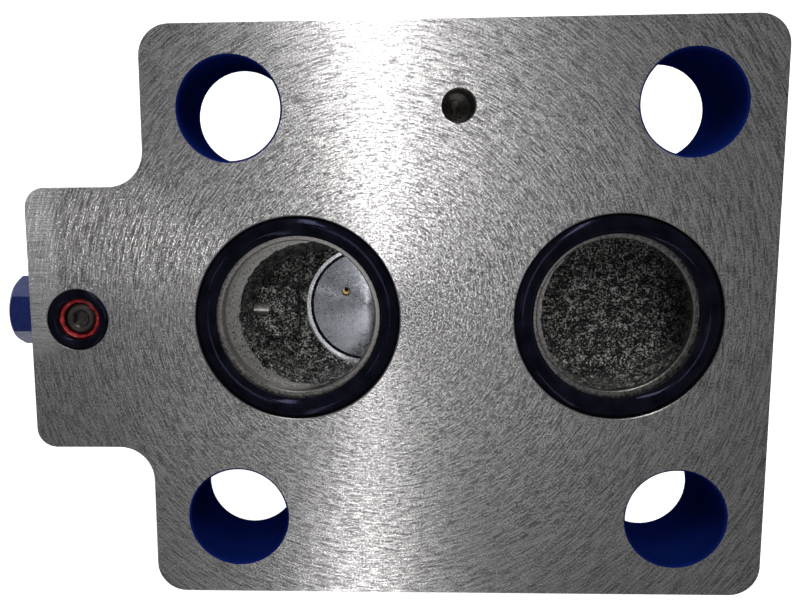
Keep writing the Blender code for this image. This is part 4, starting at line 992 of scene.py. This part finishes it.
# ---- Pilot stage ----------------------------------------------------------------------
# Inside the head: a ground dowel, the hardened seat and cone of the pilot, and the sealed
# plate that carries its spring. None of them shows when the valve is whole.
pilot_axis = (0, 0, axis_z)
polished = steel("polished_steel", (0.40, 0.41, 0.43), (0.62, 0.63, 0.65), 0.22, pilot_axis, (1, 0, 0))
zinc = metal("zinc_plate", (0.42, 0.42, 0.40), (0.66, 0.66, 0.63), 0.36)
dress("locating_dowel", polished)
dress("pilot_seat", polished)
dress("pilot_cone", polished)
dress("spring_plate", zinc)
dress("spring_plate_seal", rubber)

# ---- Pressure adjuster ----------------------------------------------------------------
# A zinc plated hexagon bush screws into the head on a copper washer. The adjusting spindle
# passes through it and is held by a lock nut, and a turned cap slides over both.
bush = turned("bush_steel", [
    (9.4 * mm, 20.3 * mm),
    (9.7 * mm, 20.6 * mm),
    (9.7 * mm, 45 * mm),
    (9.0 * mm, 50 * mm),
    (9.0 * mm, 56.7 * mm),
    (8.6 * mm, 57.1 * mm),
], zinc, 72)
collar = hexagon_head("bush_collar", 24 * mm, 7 * mm, zinc)
put(collar, (0, 0, 44.1 * mm))
machine(bush, collar, "UNION")
thread_r = 4.3 * mm
countersink_r = 4.9 * mm
bush_bore = turned("bush_bore", [
    (thread_r, 19 * mm),
    (thread_r, 56.6 * mm),
    (countersink_r, 57.2 * mm),
    (countersink_r, 58 * mm),
], zinc, 48)
machine(bush, bush_bore)
put(bush, pilot_axis, (0, 90, 0))
smooth(bush, 25)
fit(bush, "valve", "zinc_steel", "adjuster_bush")
washer("bush_washer_copper", "adjuster_bush_washer", copper, "valve", "copper", "X")

low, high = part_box("adjusting_spindle")
spindle_length = high.x - low.x
spindle = socketed("spindle_steel", [
    (3.4 * mm, -spindle_length),
    (4.0 * mm, -spindle_length + 0.6 * mm),
    (4.0 * mm, -0.6 * mm),
    (3.4 * mm, 0),
], 4 * mm, 4 * mm, zinc, 48)
put(spindle, (high.x, 0, axis_z), (0, 90, 0))
smooth(spindle, 25)
fit(spindle, "spindle", "zinc_steel", "adjusting_spindle")

low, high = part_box("lock_nut")
nut_height = high.x - low.x
nut = hexagon_head("nut_steel", 13 * mm, nut_height, zinc)
nut_bore = turned("nut_bore", [
    (countersink_r, -0.5 * mm),
    (countersink_r, 0.1 * mm),
    (thread_r, 0.7 * mm),
    (thread_r, nut_height - 0.7 * mm),
    (countersink_r, nut_height - 0.1 * mm),
    (countersink_r, nut_height + 0.5 * mm),
], zinc, 48)
machine(nut, nut_bore)
put(nut, (low.x, 0, axis_z), (0, 90, 0))
smooth(nut, 25)
fit(nut, "nut", "zinc_steel", "lock_nut")

low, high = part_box("protective_cap")
cap_length = high.x - low.x
cap_r = 12.0 * mm
cap_bore_r = 9.3 * mm
cap_steel = steel("turned_cap", (0.42, 0.42, 0.41), (0.62, 0.62, 0.60), 0.3, pilot_axis, (1, 0, 0))
cap = turned("cap_steel", [
    (cap_bore_r, 0.3 * mm),
    (cap_r - 0.3 * mm, 0),
    (cap_r, 0.3 * mm),
    (cap_r, 8 * mm),
    (cap_r - 0.4 * mm, 8.4 * mm),
    (cap_r - 0.4 * mm, 10 * mm),
    (cap_r, 10.4 * mm),
    (cap_r, cap_length - 2 * mm),
    (cap_r - 1.6 * mm, cap_length),
    (0.3 * mm, cap_length),
    (0.3 * mm, cap_length - 3 * mm),
    (cap_bore_r, cap_length - 3 * mm),
], cap_steel, 96, ring=True)
put(cap, (low.x, 0, axis_z), (0, 90, 0))
smooth(cap, 25)
fit(cap, "cap", "zinc_steel", "protective_cap")

# ---- Head plugs -----------------------------------------------------------------------
# A black socket plug closes the drilled end of the pilot bore, and a zinc plated collar plug
# on a copper washer closes the gauge port on the side.
low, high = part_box("head_end_plug")
end_plug = socketed("end_plug_steel", [
    (4.7 * mm, -(high.x - low.x)),
    (4.7 * mm, -0.6 * mm),
    (4.1 * mm, 0),
], 5 * mm, 4 * mm, black_steel, 64)
put(end_plug, (low.x, 0, axis_z), (0, -90, 0))
smooth(end_plug, 25)
fit(end_plug, "valve", "black_steel", "head_end_plug")

low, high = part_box("gauge_plug")
gauge_plug = socketed("gauge_plug_steel", [
    (4.7 * mm, -(high.y - low.y)),
    (4.7 * mm, -3.5 * mm),
    (7.8 * mm, -3.5 * mm),
    (8.0 * mm, -3.3 * mm),
    (8.0 * mm, -0.6 * mm),
    (7.4 * mm, 0),
], 6 * mm, 5 * mm, zinc, 72)
put(gauge_plug, (gauge_x, high.y, axis_z), (-90, 0, 0))
smooth(gauge_plug, 25)
fit(gauge_plug, "valve", "zinc_steel", "gauge_plug")
washer("gauge_washer_copper", "gauge_plug_washer", copper, "valve", "copper", "Y")

# ---- Name plate -----------------------------------------------------------------------
# A blank plate stamped from thin aluminium with a raised border, held by two drive rivets.
aluminium = metal("satin_aluminium", (0.50, 0.51, 0.52), (0.68, 0.69, 0.70), 0.38)
low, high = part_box("name_plate")
plate = block("plate_aluminium_sheet", low, high, aluminium)
round_off(plate, 2 * mm, 6, lambda one, two: near(one.x, two.x) and near(one.z, two.z))
pick_faces(plate, lambda c, n: n.y < -0.9)
bpy.ops.mesh.inset(thickness=1.0 * mm)
bpy.ops.mesh.inset(thickness=0.25 * mm, depth=-0.2 * mm)
close_edit()
smooth(plate, 25)
fit(plate, "valve", "plate_aluminium", "name_plate")
for i in (1, 2):
    low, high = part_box(f"plate_rivet_{i}")
    centre = middle(f"plate_rivet_{i}")
    rivet = turned(f"plate_rivet_{i}_steel", [
        (1.1 * mm, -(high.y - low.y)),
        (1.1 * mm, -0.8 * mm),
        (2.2 * mm, -0.8 * mm),
        (2.1 * mm, -0.45 * mm),
        (1.5 * mm, -0.12 * mm),
        (0.6 * mm, 0),
    ], zinc, 32)
    put(rivet, (centre.x, low.y, centre.z), (90, 0, 0))
    smooth(rivet, 40)
    fit(rivet, "valve", "zinc_steel", f"plate_rivet_{i}")

# ---- Setting --------------------------------------------------------------------------
# A white sweep lies under the valve. Long soft lights behind and in front and one overhead
# give the ground face its bright stripe, and a small one at the left reaches into port A.
# Three fills stand lower than the face, so that they light only the sides.
floor_material, tree, shader = new_material("white_sweep", (0.86, 0.86, 0.86), 0.85, 0)
here = surface_point(tree)
paper = noise(tree, here, 60, 3)
tint = mix_colours(tree, paper, (0.84, 0.84, 0.84), (0.90, 0.90, 0.90))
tree.links.new(tint, shader.inputs["Base Color"])


def background_share(tree):
    """One for the rays that look at the setting: the camera's and those of shine and glass."""
    path = tree.nodes.new("ShaderNodeLightPath")
    seen = path.outputs["Is Camera Ray"]
    for name in ("Is Glossy Ray", "Is Transmission Ray"):
        seen = add(tree, "Math", {0: seen, 1: path.outputs[name]}, operation="MAXIMUM")
    return seen


shader.inputs["Emission Color"].default_value = (1, 1, 1, 1)
lit = add(tree, "Math", {0: background_share(tree), 1: 0.80}, operation="MULTIPLY")
tree.links.new(lit, shader.inputs["Emission Strength"])
bpy.ops.object.select_all(action="DESELECT")
bpy.ops.mesh.primitive_plane_add(size=8, location=(0, 0, cad_low.z - 0.02 * mm))
floor = name_new("floor", floor_material)
floor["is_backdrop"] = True


def soft_light(name, place, aim, width, length, watts):
    """An area light at a place, turned to face the aim, with its length upright."""
    lamp_data = bpy.data.lights.new(name, "AREA")
    lamp_data.shape = "RECTANGLE"
    lamp_data.size = width
    lamp_data.size_y = length
    lamp_data.energy = watts
    lamp = bpy.data.objects.new(name, lamp_data)
    bpy.context.scene.collection.objects.link(lamp)
    lamp.location = place
    lamp.visible_camera = False
    lamp.rotation_euler = (Vector(place) - Vector(aim)).to_track_quat("Z", "Y").to_euler()


soft_light("back_light", (-0.019, 0.48, 0.50), (-0.019, 0, 0), 0.09, 0.6, 3.2)
soft_light("front_light", (-0.024, -0.50, 0.48), (-0.024, 0, 0), 0.05, 0.6, 0.6)
soft_light("overhead_light", (0.004, 0.014, 0.60), (0.004, 0, 0), 0.10, 0.20, 0.33)
soft_light("port_light", (-0.22, -0.02, 0.60), (-0.018, 0, 0), 0.03, 0.03, 0.05)
for name, place in (
    ("left_fill", (-0.75, -0.55, -0.05)),
    ("right_fill", (0.75, -0.60, -0.05)),
    ("rear_fill", (0.10, 0.90, -0.05)),
):
    soft_light(name, place, (0, 0, -0.05), 0.6, 0.08, 1.3)

world = bpy.data.worlds.new("studio")
bpy.context.scene.world = world
world.use_nodes = True
tree = world.node_tree
background = tree.nodes["Background"]
direction = tree.nodes.new("ShaderNodeTexCoord").outputs["Generated"]
axes = tree.nodes.new("ShaderNodeSeparateXYZ")
tree.links.new(direction, axes.inputs[0])
glow = spread(tree, axes.outputs["Z"], 0.05, 0.75, 0.6, 0.12)
tree.links.new(glow, background.inputs["Strength"])
background.inputs["Color"].default_value = (0.95, 0.96, 1.0, 1)

camera_data = bpy.data.cameras.new("camera")
camera_data.lens = 38.33
camera_data.sensor_width = 36
camera_data.shift_x = 0.082
camera_data.shift_y = -0.0047
camera_data.clip_start = 0.005
camera = bpy.data.objects.new("camera", camera_data)
bpy.context.scene.collection.objects.link(camera)
camera.location = (-0.01728, 0.02594, 0.16769)
camera.rotation_euler = [math.radians(angle) for angle in (-7.788, 2.314, -0.565)]
bpy.context.scene.camera = camera
bpy.context.scene.view_settings.view_transform = "Standard"

low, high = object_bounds()
